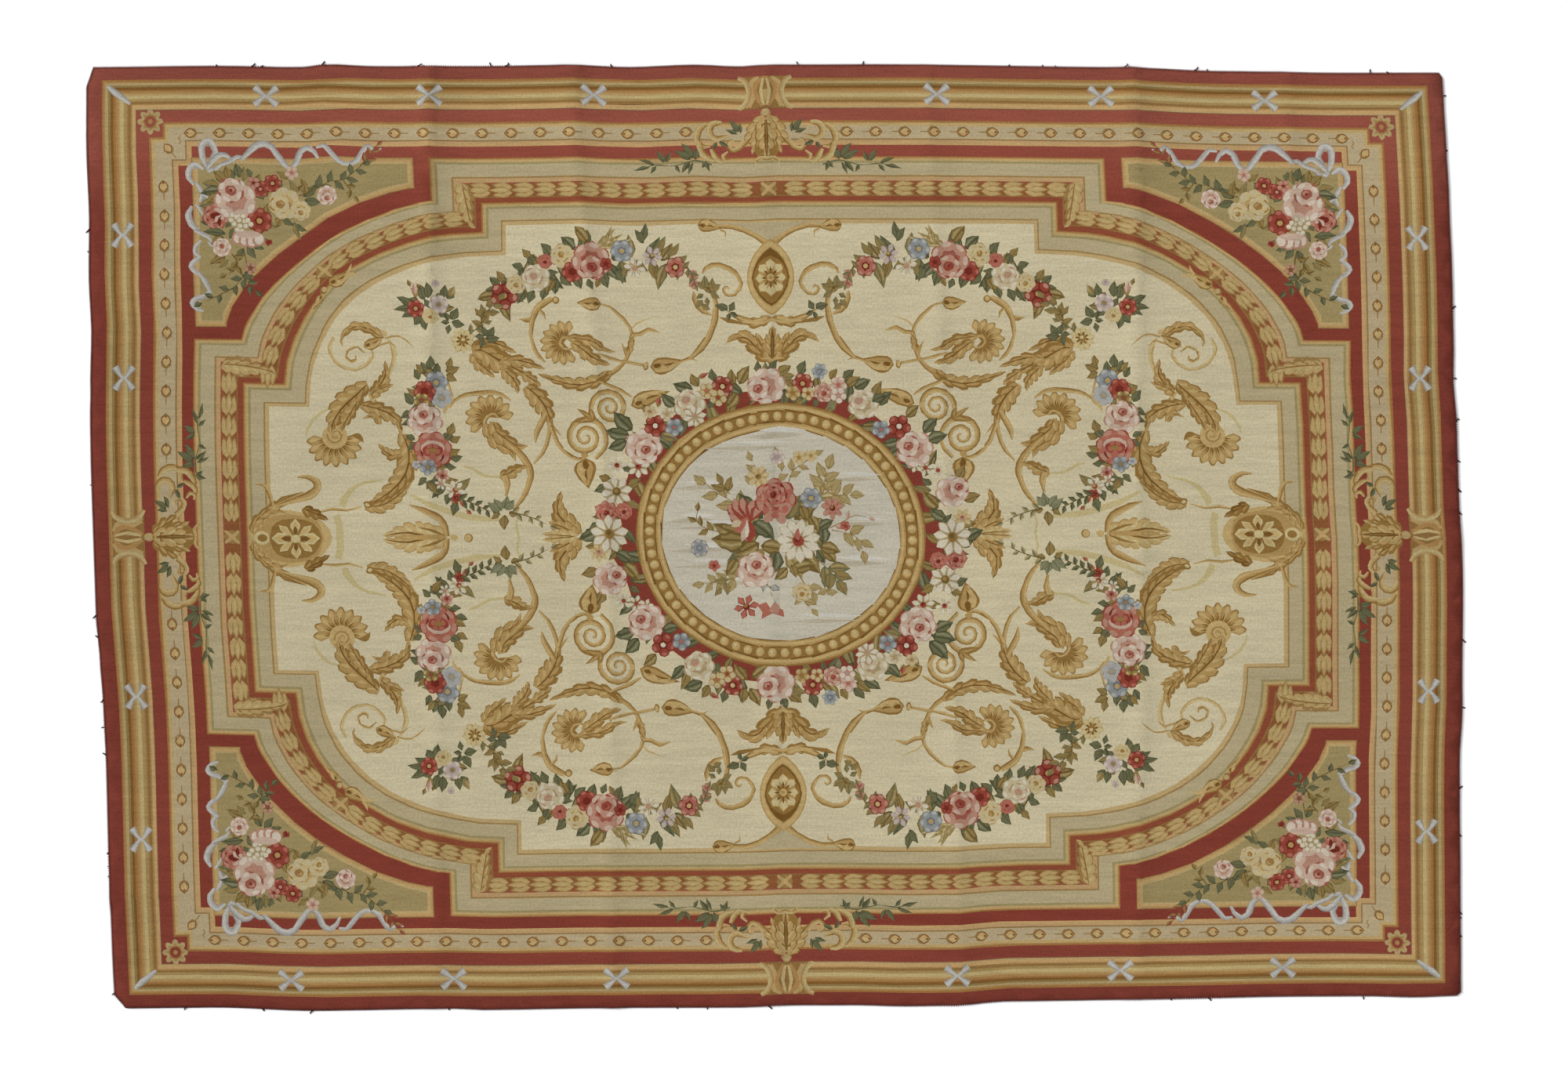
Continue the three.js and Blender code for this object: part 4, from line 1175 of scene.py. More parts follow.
def wreathFlowers():
    copying["way"] = "quarter"
    ground = [(0, 296), (80, 290), (160, 268), (226, 224), (276, 166), (306, 90), (316, 0), (0, 0)]
    lay(smoothPath(ground, 24), "groundRed")
    copying["way"] = "once"
    strew([towards(a, 322, 296) + (centreU, centreV) for a in np.linspace(0, 2 * math.pi, 61)], 48, 36, 1.1)
    for flip in (1, -1):
        at = halfTurned(flip)
        for *ends, width, tones in wreathLeaves:
            leaf(at(*ends[:2]), at(*ends[2:]), width, tones)
        daisy(*at(-317, 145), 18, daisyTone, redHeart, 6)
        daisy(*at(-274, 143), 22, daisyTone, redHeart, 7)
        rose(*at(-262, 183), 36, "pink", 0.3, (0.1, -0.15))
        daisy(*at(-319, 92), 30, daisyTone, ("oliveDark", "yellowDark"), 8)
        rose(*at(-341, 50), 22, "red", 0.4)
        rose(*at(-306, 53), 17, "red", 0.9)
        daisy(*at(-359, -32), 19, ("yellowMid", "yellowLight"), ("roseMid", "roseDeep"), 7)
        daisy(*at(-337, 6), 36, daisyTone, ("goldDark", "oliveDark"), 9)
        rose(*at(-340, -86), 32, "pink", 0.2, (0.4, 0.25))
        daisy(*at(-313, -129), 16, daisyTone, redHeart, 6)
        daisy(*at(-288, -134), 16, daisyTone, redHeart, 6)
        daisy(*at(-268, -140), 15, daisyTone, redHeart, 6)
        rose(*at(-267, -172), 36, "pink", 0.5, (-0.3, 0.15))
        blossom(*at(-237, -218), 22, redFlower, "whiteYarn", 5)
        blossom(*at(-200, -212), 17, blueFlower, "redLight", 5)
        rose(*at(-166, -262), 30, "white", 0.4, (-0.25, 0.2))
    for flip in (1, -1):
        def across(u, v):
            return (u, v * flip + (1 - flip) * centreV)
        for *ends, width, tones in crownLeaves:
            leaf(across(*ends[:2]), across(*ends[2:]), width, tones)
        blossom(*across(-100, 303), 20, crimsonFlower, "yellowLight", 6)
        blossom(*across(-132, 293), 15, butterFlower, "redLight")
        blossom(*across(-110, 280), 16, butterFlower, "redMid")
        blossom(*across(62, 306), 20, crimsonFlower, "yellowMid", 6)
        blossom(*across(41, 287), 14, ("yellowDark", "yellowMid", "yellowLight"), "goldDark")
        blossom(*across(72, 286), 13, butterFlower, "redMid")
        rose(*across(104, 288), 20, "rosy", 0.2)
        blossom(*across(134, 303), 16, ("roseMid", "roseLight", "rosePale"), "redLight")
        blossom(*across(133, 282), 15, ("roseMid", "rosePale", "whiteYarn"), "lilacMid")
        blossom(*across(96, 331), 15, blueFlower, "blueMid", 6)
        bud(across(-150, 318), across(-128, 330), 11)
    for flip in (1, -1):
        at = halfTurned(flip)
        rose(*at(-168, 266), 31, "white", 0.4, (-0.2, 0.25))
        daisy(*at(-158, 241), 22, daisyTone, ("creamShade", "roseMid"), 8)
        blossom(*at(-238, 225), 21, redFlower, "whiteYarn", 5)
        blossom(*at(-200, 221), 17, blueFlower, "redLight", 5)
        blossom(*at(-214, 248), 13, creamFlower, "yellowMid")
        blossom(*at(-248, 254), 12, ("creamShade", "yellowLight", "creamYarn"), "redLight")
        bud(at(-232, 262), at(-228, 284), 12)
    for flip in (1, -1):
        rose(-12, 302 * flip + (1 - flip) * centreV, 37, "pink", 0.6, (-0.4, -0.1))


wreathLeaves = [
    (-284, 216, -318, 250, 34, greens), (-290, 206, -334, 214, 32, greens),
    (-296, 196, -330, 180, 26, greens), (-236, 200, -208, 178, 20, greens),
    (-228, 206, -196, 196, 18, mixedLeaf), (-330, 118, -352, 122, 18, olives),
    (-336, 104, -362, 92, 18, greens), (-296, 100, -272, 116, 16, olives),
    (-354, 28, -378, 12, 20, greens), (-360, 12, -396, -4, 22, greens),
    (-352, -16, -384, -20, 14, olives), (-326, -30, -296, -50, 22, greens),
    (-312, -52, -284, -84, 20, olives), (-364, -66, -394, -76, 22, olives),
    (-352, -108, -366, -136, 18, olives), (-300, -100, -282, -112, 16, greens),
    (-292, -188, -330, -200, 30, greens), (-286, -204, -312, -232, 30, greens),
    (-236, -190, -204, -182, 20, greens), (-252, -236, -276, -258, 16, olives),
    (-196, -260, -222, -286, 16, greens), (-188, -272, -204, -306, 14, olives),
    (-194, 262, -222, 288, 16, greens), (-246, 250, -262, 268, 14, olives),
]
crownLeaves = [
    (-160, 296, -196, 308, 20, greens), (-148, 302, -162, 326, 16, olives),
    (-116, 312, -122, 336, 14, greens), (-78, 306, -82, 336, 24, olives),
    (-66, 308, -48, 342, 18, olives), (-70, 292, -92, 262, 20, olives),
    (-122, 278, -128, 258, 16, greens), (-26, 330, -30, 352, 16, greens),
    (-4, 330, 8, 352, 20, greens), (10, 322, 36, 340, 20, olives),
    (20, 316, 44, 322, 18, mixedLeaf), (56, 322, 66, 350, 20, greens),
    (60, 276, 44, 262, 14, olives), (88, 276, 84, 258, 14, greens),
    (116, 272, 118, 254, 16, ("leafMid", "leafLight", "blueLight")),
    (144, 312, 164, 332, 18, greens), (150, 300, 176, 318, 16, olives),
    (166, 296, 196, 312, 18, greens), (118, 314, 130, 334, 14, olives),
    (200, 270, 226, 282, 18, greens),
]
wreathFlowers()
copying["way"] = "once"
for inset, yarn in ringPlan["bands"]:
    lay(oval(centreU, centreV, ringPlan["outer"][0] - inset, ringPlan["outer"][1] - inset, 0, 96), yarn)
beadU, beadV = ringPlan["outer"][0] - ringPlan["beadInset"], ringPlan["outer"][1] - ringPlan["beadInset"]
for k in range(ringPlan["beads"]):
    angle = (k + 0.5) * 2 * math.pi / ringPlan["beads"]
    u, v = centreU + beadU * math.cos(angle), centreV + beadV * math.sin(angle)
    lay(oval(u, v, 9.6, 9.2, angle, 10), "goldMid")
    lay(oval(u - 0.6, v + 0.9, 8, 7.6, angle, 9), "goldLight")
    lay(oval(u - 1.4, v + 2.2, 4.4, 3.6, angle, 7), "goldPale")
# Faint bands where the weaver changed to another dye lot
for u, v, reach, height in ((-150, 96, 60, 9), (-172, 30, 50, 12), (-118, 16, 100, 7), (-160, -30, 60, 12),
                            (-150, -62, 70, 9), (0, 200, 60, 14), (150, 110, 60, 9), (-100, -96, 90, 8),
                            (-60, 176, 90, 8), (150, -60, 70, 12), (170, 20, 50, 9), (80, -176, 80, 9)):
    blade((u - reach, v), (u + reach, v + 3), height, "medallionShade", 0, 1, 6)
    blade((u - reach * 0.5, v + 14), (u + reach * 1.1, v + 12), height * 0.9, "medallionLight", 0, 1, 8)

bouquetSprigs = [
    ([(-36, 24), (-86, 70), (-112, 84), (-138, 104)], 30, paleLeaf, 2),
    ([(-92, 86), (-104, 106)], 24, olives, 1),
    ([(-30, 60), (-38, 110), (-36, 132), (-44, 152)], 22, paleLeaf, 2),
    ([(0, 90), (8, 120), (20, 138), (10, 160)], 20, paleLeaf, 1),
    ([(24, 84), (34, 126), (60, 146), (82, 160)], 20, paleLeaf, 2),
    ([(60, 50), (96, 84), (100, 108), (108, 132)], 32, paleLeaf, 3),
    ([(90, 70), (124, 80), (150, 80)], 28, paleLeaf, 2),
    ([(110, 10), (140, 4), (164, -8), (170, -32)], 26, paleLeaf, 2),
    ([(96, 10), (130, 24), (160, 40), (186, 34)], 14, ("roseMid", "roseLight", "creamYarn"), 1),
    ([(80, -50), (104, -74), (116, -92)], 34, mixedLeaf, 2),
    ([(40, -80), (58, -108), (80, -122), (96, -120)], 22, paleLeaf, 2),
    ([(46, -110), (50, -134), (64, -150)], 20, paleLeaf, 1),
    ([(-44, -60), (-90, -84), (-120, -92), (-150, -96)], 24, paleLeaf, 3),
    ([(-100, -84), (-116, -104)], 20, mixedLeaf, 1),
    ([(-96, 6), (-140, 14), (-160, 30), (-158, 50)], 18, olives, 2),
    ([(-40, -80), (-20, -104), (-14, -128)], 18, ("leafMid", "blueLight", "leafLight"), 1),
]
for points, size, tones, pairs in bouquetSprigs:
    sprig(points, size * 1.22, tones, pairs, 0.4, 0.8, "oliveMid")
burst(2, 2, 112, 96, 13, 28, 0.2, (paleLeaf, olives, mixedLeaf, paleLeaf, greens), 0.4)
leaves([(-48, 30, -10, -4, 30), (92, 20, 92, -18, 26), (84, 12, 112, 28, 26),
        (78, -30, 92, -56, 22)], greens)
leaves([(-60, 0, -122, 22, 26), (-62, -8, -126, -6, 30), (-36, -14, -82, -34, 26),
        (-34, -20, 10, -30, 24), (28, -70, 70, -62, 24), (18, -66, -6, -88, 22),
        (26, -60, 34, -84, 20), (66, 40, 82, 10, 24), (88, -26, 114, -54, 26),
        (84, -24, 122, -34, 20), (-82, -44, -104, -76, 22), (50, 60, 60, 30, 24)], olives)
daisy(-33, 120, 22, ("yellowMid", "yellowLight"), ("goldDark", "oliveDark"), 7)
blossom(72, 74, 20, blueFlower, "yellowMid", 6)
blossom(6, 158, 14, lilacFlower, "lilacMid", 6)
blossom(50, 156, 14, honeyFlower, "yellowDark")
blossom(74, 160, 12, honeyFlower, "yellowDark")
daisy(114, 54, 22, ("redLight", "roseMid"), ("redDark", "yellowDark"), 7)
blossom(138, 18, 10, scarletFlower)
blossom(-157, -24, 17, ("blueDark", "blueMid", "lilacLight"), "blueMid", 7)
blossom(-129, -60, 11, scarletFlower, "redDark")
daisy(-66, -142, 24, ("redMid", "redLight"), ("redDark", "yellowDark"), 6)
lay([(-44, -140), (-24, -134), (8, -152), (10, -166), (-14, -158), (-36, -168), (-34, -154)], "redLight")
blade((-22, -132), (-2, -160), 22, "roseMid", 0.05, 1.3)
blade((-22, -132), (-30, -160), 18, "redLight", -0.05, 1.3)
blade((-18, -120), (-18, -146), 16, "whiteYarn", 0, 1.1)
rose(46, -116, 19, "yellow", 0.4, (0, -0.2))
for *ends, width in ((-66, 30, -96, 66, 26), (-60, 30, -84, 78, 26), (-58, 34, -66, 80, 22),
                     (-54, 34, -44, 74, 22), (-52, 30, -26, 62, 24), (-60, 26, -96, 44, 20)):
    base, tip = np.reshape(ends, (2, 2))
    blade(base, tip, width, "redMid", 0.06, 1.2)
    blade(base * 0.8 + tip * 0.2, tip, width * 0.6, "roseMid", 0.06, 1.3)
for *ends, width, yarn in ((-58, 40, -84, 8, 24, "redLight"), (-54, 36, -58, -14, 24, "redMid"),
                           (-58, 32, -72, -10, 16, "roseLight"), (-60, 34, -62, -2, 9, "whiteYarn"),
                           (-92, 20, -70, 30, 16, "creamYarn")):
    blade(ends[:2], ends[2:], width, yarn, 0.05, 1.2)
rose(0, 74, 40, "red", 0.3, (-0.05, 0.2))
petals(0, 52, 5, 20, 10, 14, "roseMid", 0.8, 8)
petals(0, 60, 5, 20, 9, 7, "redLight", 0.2, 8)
rose(-4, 80, 25, "red", 0.9, (0, 0.05))
rose(-46, -68, 36, "pink", 0.2, (0.05, 0.25))
daisy(42, -12, 42, daisyTone, redHeart, 11)
blade((42, -12), (44, 14), 12, "redLight", 0.1)
print("medallion drawn:", len(drawn), "outlines")


# Top face: the outlines become an inlay of small flat-coloured triangles
meshPlan = {"gridStep": 66.0, "gridMargin": 8, "foldSteps": (-0.4, 0, 0.22), "foldStep": 42.0,
            "foldMargin": 6, "rippleStep": 25, "firstWeld": 0.02, "weldTo": 0.4, "keepTo": 1.5,
            "longestEdge": 100.0, "cornerClear": 1.02, "broadFrom": 300, "underLift": 0.85}


def clothOutline(step):
    # The cloth's edge with its worn corners, in even steps
    halfLength, halfWidth = cloth["length"] / 2, cloth["width"] / 2
    points = []
    for name, u, v in (("frontLeft", -1, -1), ("frontRight", 1, -1), ("backRight", 1, 1),
                       ("backLeft", -1, 1)):
        cutAlong, cutDown = corners[name]["cut"]
        ends = [(u * halfLength, v * (halfWidth - cutDown)), (u * (halfLength - cutAlong), v * halfWidth)]
        points += ends if u * v > 0 else ends[::-1]
    points = np.array(points, float)
    out = []
    for a, b in zip(points, np.roll(points, -1, axis=0)):
        count = max(1, round(np.linalg.norm(b - a) / step))
        out.append(a + np.outer(np.arange(count) / count, b - a))
    return np.vstack(out)


def foldLines():
    # Rows of points along each ridge's crest and flanks, so that the folds keep their shape
    lines, margin = [], meshPlan["foldMargin"]
    for ridge in ridges:
        t = np.arange(margin, cloth["width"] - margin + 1, meshPlan["foldStep"])
        if ridge["lift"][1] == 0:
            t = t[t < cloth["width"] / 2]
        for share in meshPlan["foldSteps"]:
            s = alongWidth(ridge["s"], t) + share * ridge["reach"]
            lines.append(np.column_stack([s - cloth["length"] / 2, cloth["width"] / 2 - t]))
    for ripple in ripples:
        s = np.arange(max(margin, ripple["fromS"]), min(cloth["length"] - margin, ripple["toS"]),
                      meshPlan["rippleStep"])
        for share in meshPlan["foldSteps"]:
            t = np.full_like(s, ripple["t"] + share * ripple["reach"], float)
            lines.append(np.column_stack([s - cloth["length"] / 2, cloth["width"] / 2 - t]))
    return lines


def insideMask(outline, points, order, sortedV):
    # Which points lie inside an outline, counted by winding, so that overlaps of a line
    # with itself stay filled. order sorts the points by v.
    low, high = np.searchsorted(sortedV, (outline[:, 1].min(), outline[:, 1].max()))
    picked = order[low:high]
    near = points[picked]
    keep = (near[:, 0] > outline[:, 0].min()) & (near[:, 0] < outline[:, 0].max())
    if len(outline) > 60:
        picked, near = picked[keep], near[keep]
        winding = np.zeros(len(picked), int)
        v = near[:, 1]
        for a, b in zip(outline, np.roll(outline, -1, axis=0)):
            first, last = np.searchsorted(v, (min(a[1], b[1]), max(a[1], b[1])))
            part = near[first:last]
            side = (b[0] - a[0]) * (part[:, 1] - a[1]) - (part[:, 0] - a[0]) * (b[1] - a[1])
            winding[first:last] += (side > 0) if b[1] > a[1] else -(side < 0).astype(int)
        return picked[winding != 0]
    picked, near = picked[keep], near[keep]
    if not len(picked):
        return picked
    a, b = outline, np.roll(outline, -1, axis=0)
    u, v = near[:, :1], near[:, 1:]
    side = (b[:, 0] - a[:, 0]) * (v - a[:, 1]) - (u - a[:, 0]) * (b[:, 1] - a[:, 1])
    up = (a[:, 1] <= v) & (b[:, 1] > v) & (side > 0)
    down = (b[:, 1] <= v) & (a[:, 1] > v) & (side < 0)
    return picked[(up.sum(1) - down.sum(1)) != 0]


def yarnOfTriangles(points, triangles, outlines):
    # The yarn of each triangle: that of the last outline laid over its middle
    middles = points[triangles].mean(axis=1)
    order = np.argsort(middles[:, 1])
    sortedV = middles[order, 1]
    yarn = np.zeros(len(triangles), int)
    for outline, colour in outlines:
        yarn[insideMask(outline, middles, order, sortedV)] = colour
    return yarn


def triangulate(points, lines, weldTo):
    # lines: pairs of point numbers that have to stay as edges
    result = delaunay_2d_cdt([Vector(p) for p in points * mm], [tuple(e) for e in lines.tolist()], [], 0,
                             weldTo * mm, False)
    fans = [(face[0], face[k], face[k + 1]) for face in result[2] for k in range(1, len(face) - 1)]
    return np.array([tuple(p) for p in result[0]]) / mm, np.array(fans)


def closedLines(outlines, start=0):
    lines = []
    for outline in outlines:
        index = np.arange(len(outline)) + start
        lines.append(np.column_stack([index, np.roll(index, -1)]))
        start += len(outline)
    return np.vstack(lines)


def openLine(index):
    return np.column_stack([index[:-1], index[1:]])


def chainsOf(edges, count):
    # Edges walked into chains of point numbers that end where more than two edges meet
    degree = np.bincount(edges.ravel(), minlength=count)
    both = np.concatenate([edges, edges[:, ::-1]])
    both = both[np.argsort(both[:, 0], kind="stable")]
    start = np.searchsorted(both[:, 0], np.arange(count + 1)).tolist()
    to, isPlain = both[:, 1].tolist(), (degree == 2).tolist()
    walked, chains = set(), []
    for a in np.concatenate([np.flatnonzero(degree > 2), np.flatnonzero(degree == 2)]).tolist():
        for b in to[start[a]:start[a + 1]]:
            if (a, b) in walked:
                continue
            chain = [a, b]
            while isPlain[b] and b != chain[0]:
                near, far = to[start[b]:start[b] + 2]
                b = far if near == chain[-2] else near
                chain.append(b)
            walked.update(zip(chain, chain[1:]))
            walked.update(zip(chain[1:], chain))
            chains.append(chain)
    return chains


def thinned(points, edges, tolerance):
    # The same lines without the points that hardly bend them
    kept = []
    for chain in chainsOf(edges, len(points)):
        line, keep = points[chain], np.zeros(len(chain), bool)
        last = len(chain) - 1
        middle = int(np.argmax(((line - line[0]) ** 2).sum(axis=1))) if chain[0] == chain[-1] else last
        keep[[0, middle, last]] = True
        spans = [(0, middle), (middle, last)]
        while spans:
            first, last = spans.pop()
            if last - first < 2:
                continue
            way, part = line[last] - line[first], line[first + 1:last] - line[first]
            off = np.abs(part[:, 0] * way[1] - part[:, 1] * way[0]) / max(math.hypot(*way), 1e-9)
            k = int(off.argmax())
            if off[k] > tolerance:
                keep[first + 1 + k] = True
                spans += [(first, first + 1 + k), (first + 1 + k, last)]
        kept.append(openLine(np.asarray(chain)[keep]))
    return np.vstack(kept)


def split(points, edges, longest):
    # Long edges get points in between, so that the sheet can bend under them
    a, b = points[edges[:, 0]], points[edges[:, 1]]
    parts = np.maximum(1, np.ceil(np.linalg.norm(b - a, axis=1) / longest).astype(int))
    sets, lines, start = [points], [edges[parts == 1]], len(points)
    for k in np.flatnonzero(parts > 1):
        count = parts[k] - 1
        sets.append(a[k] + np.outer(np.arange(1, count + 1) / (count + 1), b[k] - a[k]))
        lines.append(openLine(np.concatenate([edges[k, :1], np.arange(start, start + count), edges[k, 1:]])))
        start += count
    return np.vstack(sets), np.vstack(lines)


def inlay(outlines, gridStep):
    # Returns the points, triangles and yarns of a flat sheet that shows the outlines
    rim = clothOutline(gridStep / 2)
    points, triangles = triangulate(np.vstack([o for o, yarn in outlines]),
                                    closedLines([o for o, yarn in outlines]), meshPlan["firstWeld"])
    yarn = yarnOfTriangles(points, triangles, outlines)
    pairs = np.sort(np.vstack([triangles[:, (0, 1)], triangles[:, (1, 2)], triangles[:, (2, 0)]]), axis=1)
    owner = np.tile(yarn, 3)
    order = np.lexsort((pairs[:, 1], pairs[:, 0]))
    pairs, owner = pairs[order], owner[order]
    same = np.flatnonzero((pairs[1:] == pairs[:-1]).all(axis=1))
    shown = thinned(points, pairs[same[owner[same] != owner[same + 1]]], meshPlan["keepTo"])
    used, shown = np.unique(shown, return_inverse=True)
    points, shown = split(points[used], shown.reshape(-1, 2), meshPlan["longestEdge"])
    print("lines that show:", len(points), "points")
    # The shown edges, the cloth's rim, the fold lines and an even grid make the final sheet
    lines = [shown, closedLines([rim], len(points))]
    sets = [points, rim]
    start = len(points) + len(rim)
    for fold in foldLines():
        sets.append(fold)
        lines.append(openLine(np.arange(len(fold)) + start))
        start += len(fold)
    halfLength, halfWidth = (cloth[side] / 2 - meshPlan["gridMargin"] for side in ("length", "width"))
    u = np.linspace(-halfLength, halfLength, round(2 * halfLength / gridStep))
    v = np.linspace(-halfWidth, halfWidth, round(2 * halfWidth / gridStep))
    grid = np.stack(np.meshgrid(u, v), axis=-1).reshape(-1, 2)
    cut = meshPlan["cornerClear"] * max(max(place["cut"]) for place in corners.values())
    grid = grid[(np.abs(grid[:, 0]) < cloth["length"] / 2 - cut)
                | (np.abs(grid[:, 1]) < cloth["width"] / 2 - cut)]
    sets.append(grid)
    points, triangles = triangulate(np.vstack(sets), np.vstack(lines), meshPlan["weldTo"])
    return points, triangles, yarnOfTriangles(points, triangles, outlines)


topPoints, topTriangles, topYarn = inlay(drawn, meshPlan["gridStep"])
print("top face:", len(topPoints), "points,", len(topTriangles), "triangles")

# Underside: the same cloth seen from behind, with only its broad bands
broadYarns = {yarnNames.index(name) for name in ("edgeRed", "railGold", "bandRed", "budBeige", "groundRed",
                                                 "frameBeige", "laurelGround", "field", "khaki",
                                                 "medallion")}
broad = [(outline, yarn) for outline, yarn in drawn
         if yarn in broadYarns and np.ptp(outline, axis=0).min() > meshPlan["broadFrom"]]
underPoints, underTriangles, underYarn = inlay(broad, meshPlan["gridStep"])
print("underside:", len(underTriangles), "triangles")


def waves(points):
    # Slow, low unevenness of a hand-woven sheet
    u, v = points[:, 0] / 1000, points[:, 1] / 1000
    return 0.5 * (np.sin(7.1 * u + 2.3 * np.sin(3.7 * v)) * np.sin(9.3 * v + 1.7 * np.sin(4.9 * u + 1))
                  + 0.6 * np.sin(17 * u + 3 * np.sin(6 * v + 2)) * np.sin(13 * v + 0.6))


def fromEdges(points):
    # Distances from the left and the back edge of the cloth
    return points[:, 0] + cloth["length"] / 2, cloth["width"] / 2 - points[:, 1]


def placed(points, height, share=1.0):
    s, t = fromEdges(points)
    lift = liftAt(s, t) * share
    # A lifted stretch waves a little; one that lies on the floor can only rise
    free = np.clip(lift / 2, 0, 1)
    rise = lift + (waves(points) + 0.8) * (0.35 + 0.4 * free)
    return np.column_stack([floorPlace(s, t), rise + height])


def boundaryLoop(points, triangles):
    # The rim's points in order, counterclockwise
    following, ways = {}, set()
    for a, b, c in triangles:
        ways.update(((a, b), (b, c), (c, a)))
    for a, b in ways:
        if (b, a) not in ways:
            following[a] = b
    start = max(following, key=lambda k: (round(points[k][0], 3), -points[k][1]))
    loop, k = [start], following[start]
    while k != start:
        loop.append(k)
        k = following[k]
    return np.array(loop)


def counterclockwise(points, triangles):
    a, b, c = (points[triangles[:, k]] for k in range(3))
    area = (b[:, 0] - a[:, 0]) * (c[:, 1] - a[:, 1]) - (b[:, 1] - a[:, 1]) * (c[:, 0] - a[:, 0])
    turned = triangles.copy()
    turned[area < 0] = turned[area < 0][:, ::-1]
    return turned[np.abs(area) > 1e-7], np.abs(area) > 1e-7


topTriangles, kept = counterclockwise(topPoints, topTriangles)
topYarn = topYarn[kept]
underTriangles, kept = counterclockwise(underPoints, underTriangles)
underYarn = underYarn[kept]
topLoop, underLoop = boundaryLoop(topPoints, topTriangles), boundaryLoop(underPoints, underTriangles)
if len(topLoop) != len(underLoop):
    raise SystemExit("the rim of the top and of the underside differ")

rim = floorPlace(*fromEdges(topPoints[topLoop]))
recentre = -(rim.min(axis=0) + rim.max(axis=0)) / 2
topPlaces = placed(topPoints, cloth["thickness"])
underPlaces = placed(underPoints, 0, meshPlan["underLift"])
for places in (topPlaces, underPlaces):
    places[:, :2] += recentre
rimMiddle = (topPlaces[topLoop] + underPlaces[underLoop]) / 2
outward = normals(np.vstack([rimMiddle[-1:, :2], rimMiddle[:, :2], rimMiddle[:1, :2]]))[1:-1]
rimMiddle[:, :2] -= outward * cloth["rimSwell"]

places = np.vstack([topPlaces, rimMiddle, underPlaces]) * mm
middleStart = len(topPlaces)
underStart = middleStart + len(rimMiddle)
ringIndex = np.arange(len(topLoop))
nextRing = np.roll(ringIndex, -1)
walls = []
for upper, lower in ((topLoop, middleStart + ringIndex), (middleStart + ringIndex, underStart + underLoop)):
    walls.append(np.column_stack([upper, lower, lower[nextRing]]))
    walls.append(np.column_stack([upper, lower[nextRing], upper[nextRing]]))
walls = np.vstack(walls)
faces = np.vstack([topTriangles, walls, underTriangles[:, ::-1] + underStart])
faceYarn = np.concatenate([topYarn, np.full(len(walls), yarnNames.index("edgeRed")), underYarn])


def meshFrom(name, vertices, triangles):
    mesh = bpy.data.meshes.new(name)
    mesh.vertices.add(len(vertices))
    mesh.vertices.foreach_set("co", np.asarray(vertices, np.float32).ravel())
    mesh.loops.add(len(triangles) * 3)
    mesh.loops.foreach_set("vertex_index", np.asarray(triangles, np.int32).ravel())
    mesh.polygons.add(len(triangles))
    mesh.polygons.foreach_set("loop_start", np.arange(0, len(triangles) * 3, 3, dtype=np.int32))
    mesh.update(calc_edges=True)
    mesh.shade_smooth()
    return mesh


room = {"keyPower": 2.75, "keySoftness": 0.3, "keyFrom": (-5.6, 2.2, 4.2), "skyStrength": 0.6,
        "whiteAt": 1.12}


def linear(tone):
    x = tone / 255
    return x / 12.92 if x <= 0.04045 else ((x + 0.055) / 1.055) ** 2.4


rugMesh = meshFrom("wovenRug", places, faces)
yarnColours = np.array([[linear(tone) / room["whiteAt"] for tone in yarns[name]] + [1.0]
                        for name in yarnNames])
colour = rugMesh.color_attributes.new("yarn", "FLOAT_COLOR", "CORNER")
# Painted light and sheen on the red yarns: shaded darker everywhere but along the back edge, where they are
# painted paler and hazier
paintedRedLight = {"yarns": ("edgeRed", "bandRed", "groundRed"), "at": (650, 790),
           "share": ((0.89, 1.1), (0.89, 1.36), (0.89, 1.37))}
# Painted light: all yarn colours are a little paler towards the back edge and the right, and shaded darker
# away from them
paintedLightFalloff = {"v": (-900, -300, 300, 800), "alongV": (0.96, 0.92, 0.93, 1.0), "u": (-1300, 0, 1300),
           "alongU": (0.96, 1.0, 0.99)}
flatPlaces = np.vstack([topPoints, topPoints[topLoop], underPoints])
cornerColours = np.repeat(yarnColours[faceYarn], 3, axis=0)
isRed = np.repeat(np.isin(faceYarn, [yarnNames.index(name) for name in paintedRedLight["yarns"]]), 3)
cornerU, cornerV = flatPlaces[faces.ravel()].T
# Painted light: every face's yarn colour is scaled by where it lies on the cloth
cornerColours[:, :3] *= (np.interp(cornerV, paintedLightFalloff["v"], paintedLightFalloff["alongV"])
                         * np.interp(cornerU, paintedLightFalloff["u"], paintedLightFalloff["alongU"]))[:, None]
# Painted light and sheen on the reds, by their distance from the back edge
for channel, share in enumerate(paintedRedLight["share"]):
    cornerColours[isRed, channel] *= np.interp(cornerV[isRed], paintedRedLight["at"], share)
colour.data.foreach_set("color", cornerColours.astype(np.float32).ravel())
# The top face takes the upper part of the square that a bake is drawn on, the underside the lower
bakePlan = {"topShare": 0.68, "margin": 0.004}
u = bakePlan["margin"] + (flatPlaces[:, 0] / cloth["length"] + 0.5) * (1 - 2 * bakePlan["margin"])
v = flatPlaces[:, 1] / cloth["width"] + 0.5
topShare, margin = bakePlan["topShare"], bakePlan["margin"]
topV = 1 - topShare + margin + v * (topShare - 2 * margin)
underV = margin + v * (1 - topShare - 2 * margin)
corner = faces.ravel()
under = np.repeat(np.arange(len(faces)) >= len(topTriangles) + len(walls) // 2, 3)
bakePlaces = np.column_stack([u[corner], np.where(under, underV[corner], topV[corner])])
uvMap = rugMesh.uv_layers.new(name="OFBake")
uvMap.data.foreach_set("uv", bakePlaces.astype(np.float32).ravel())
rug = bpy.data.objects.new("aubussonRug", rugMesh)
scene.collection.objects.link(rug)
print("rug:", len(faces), "triangles")


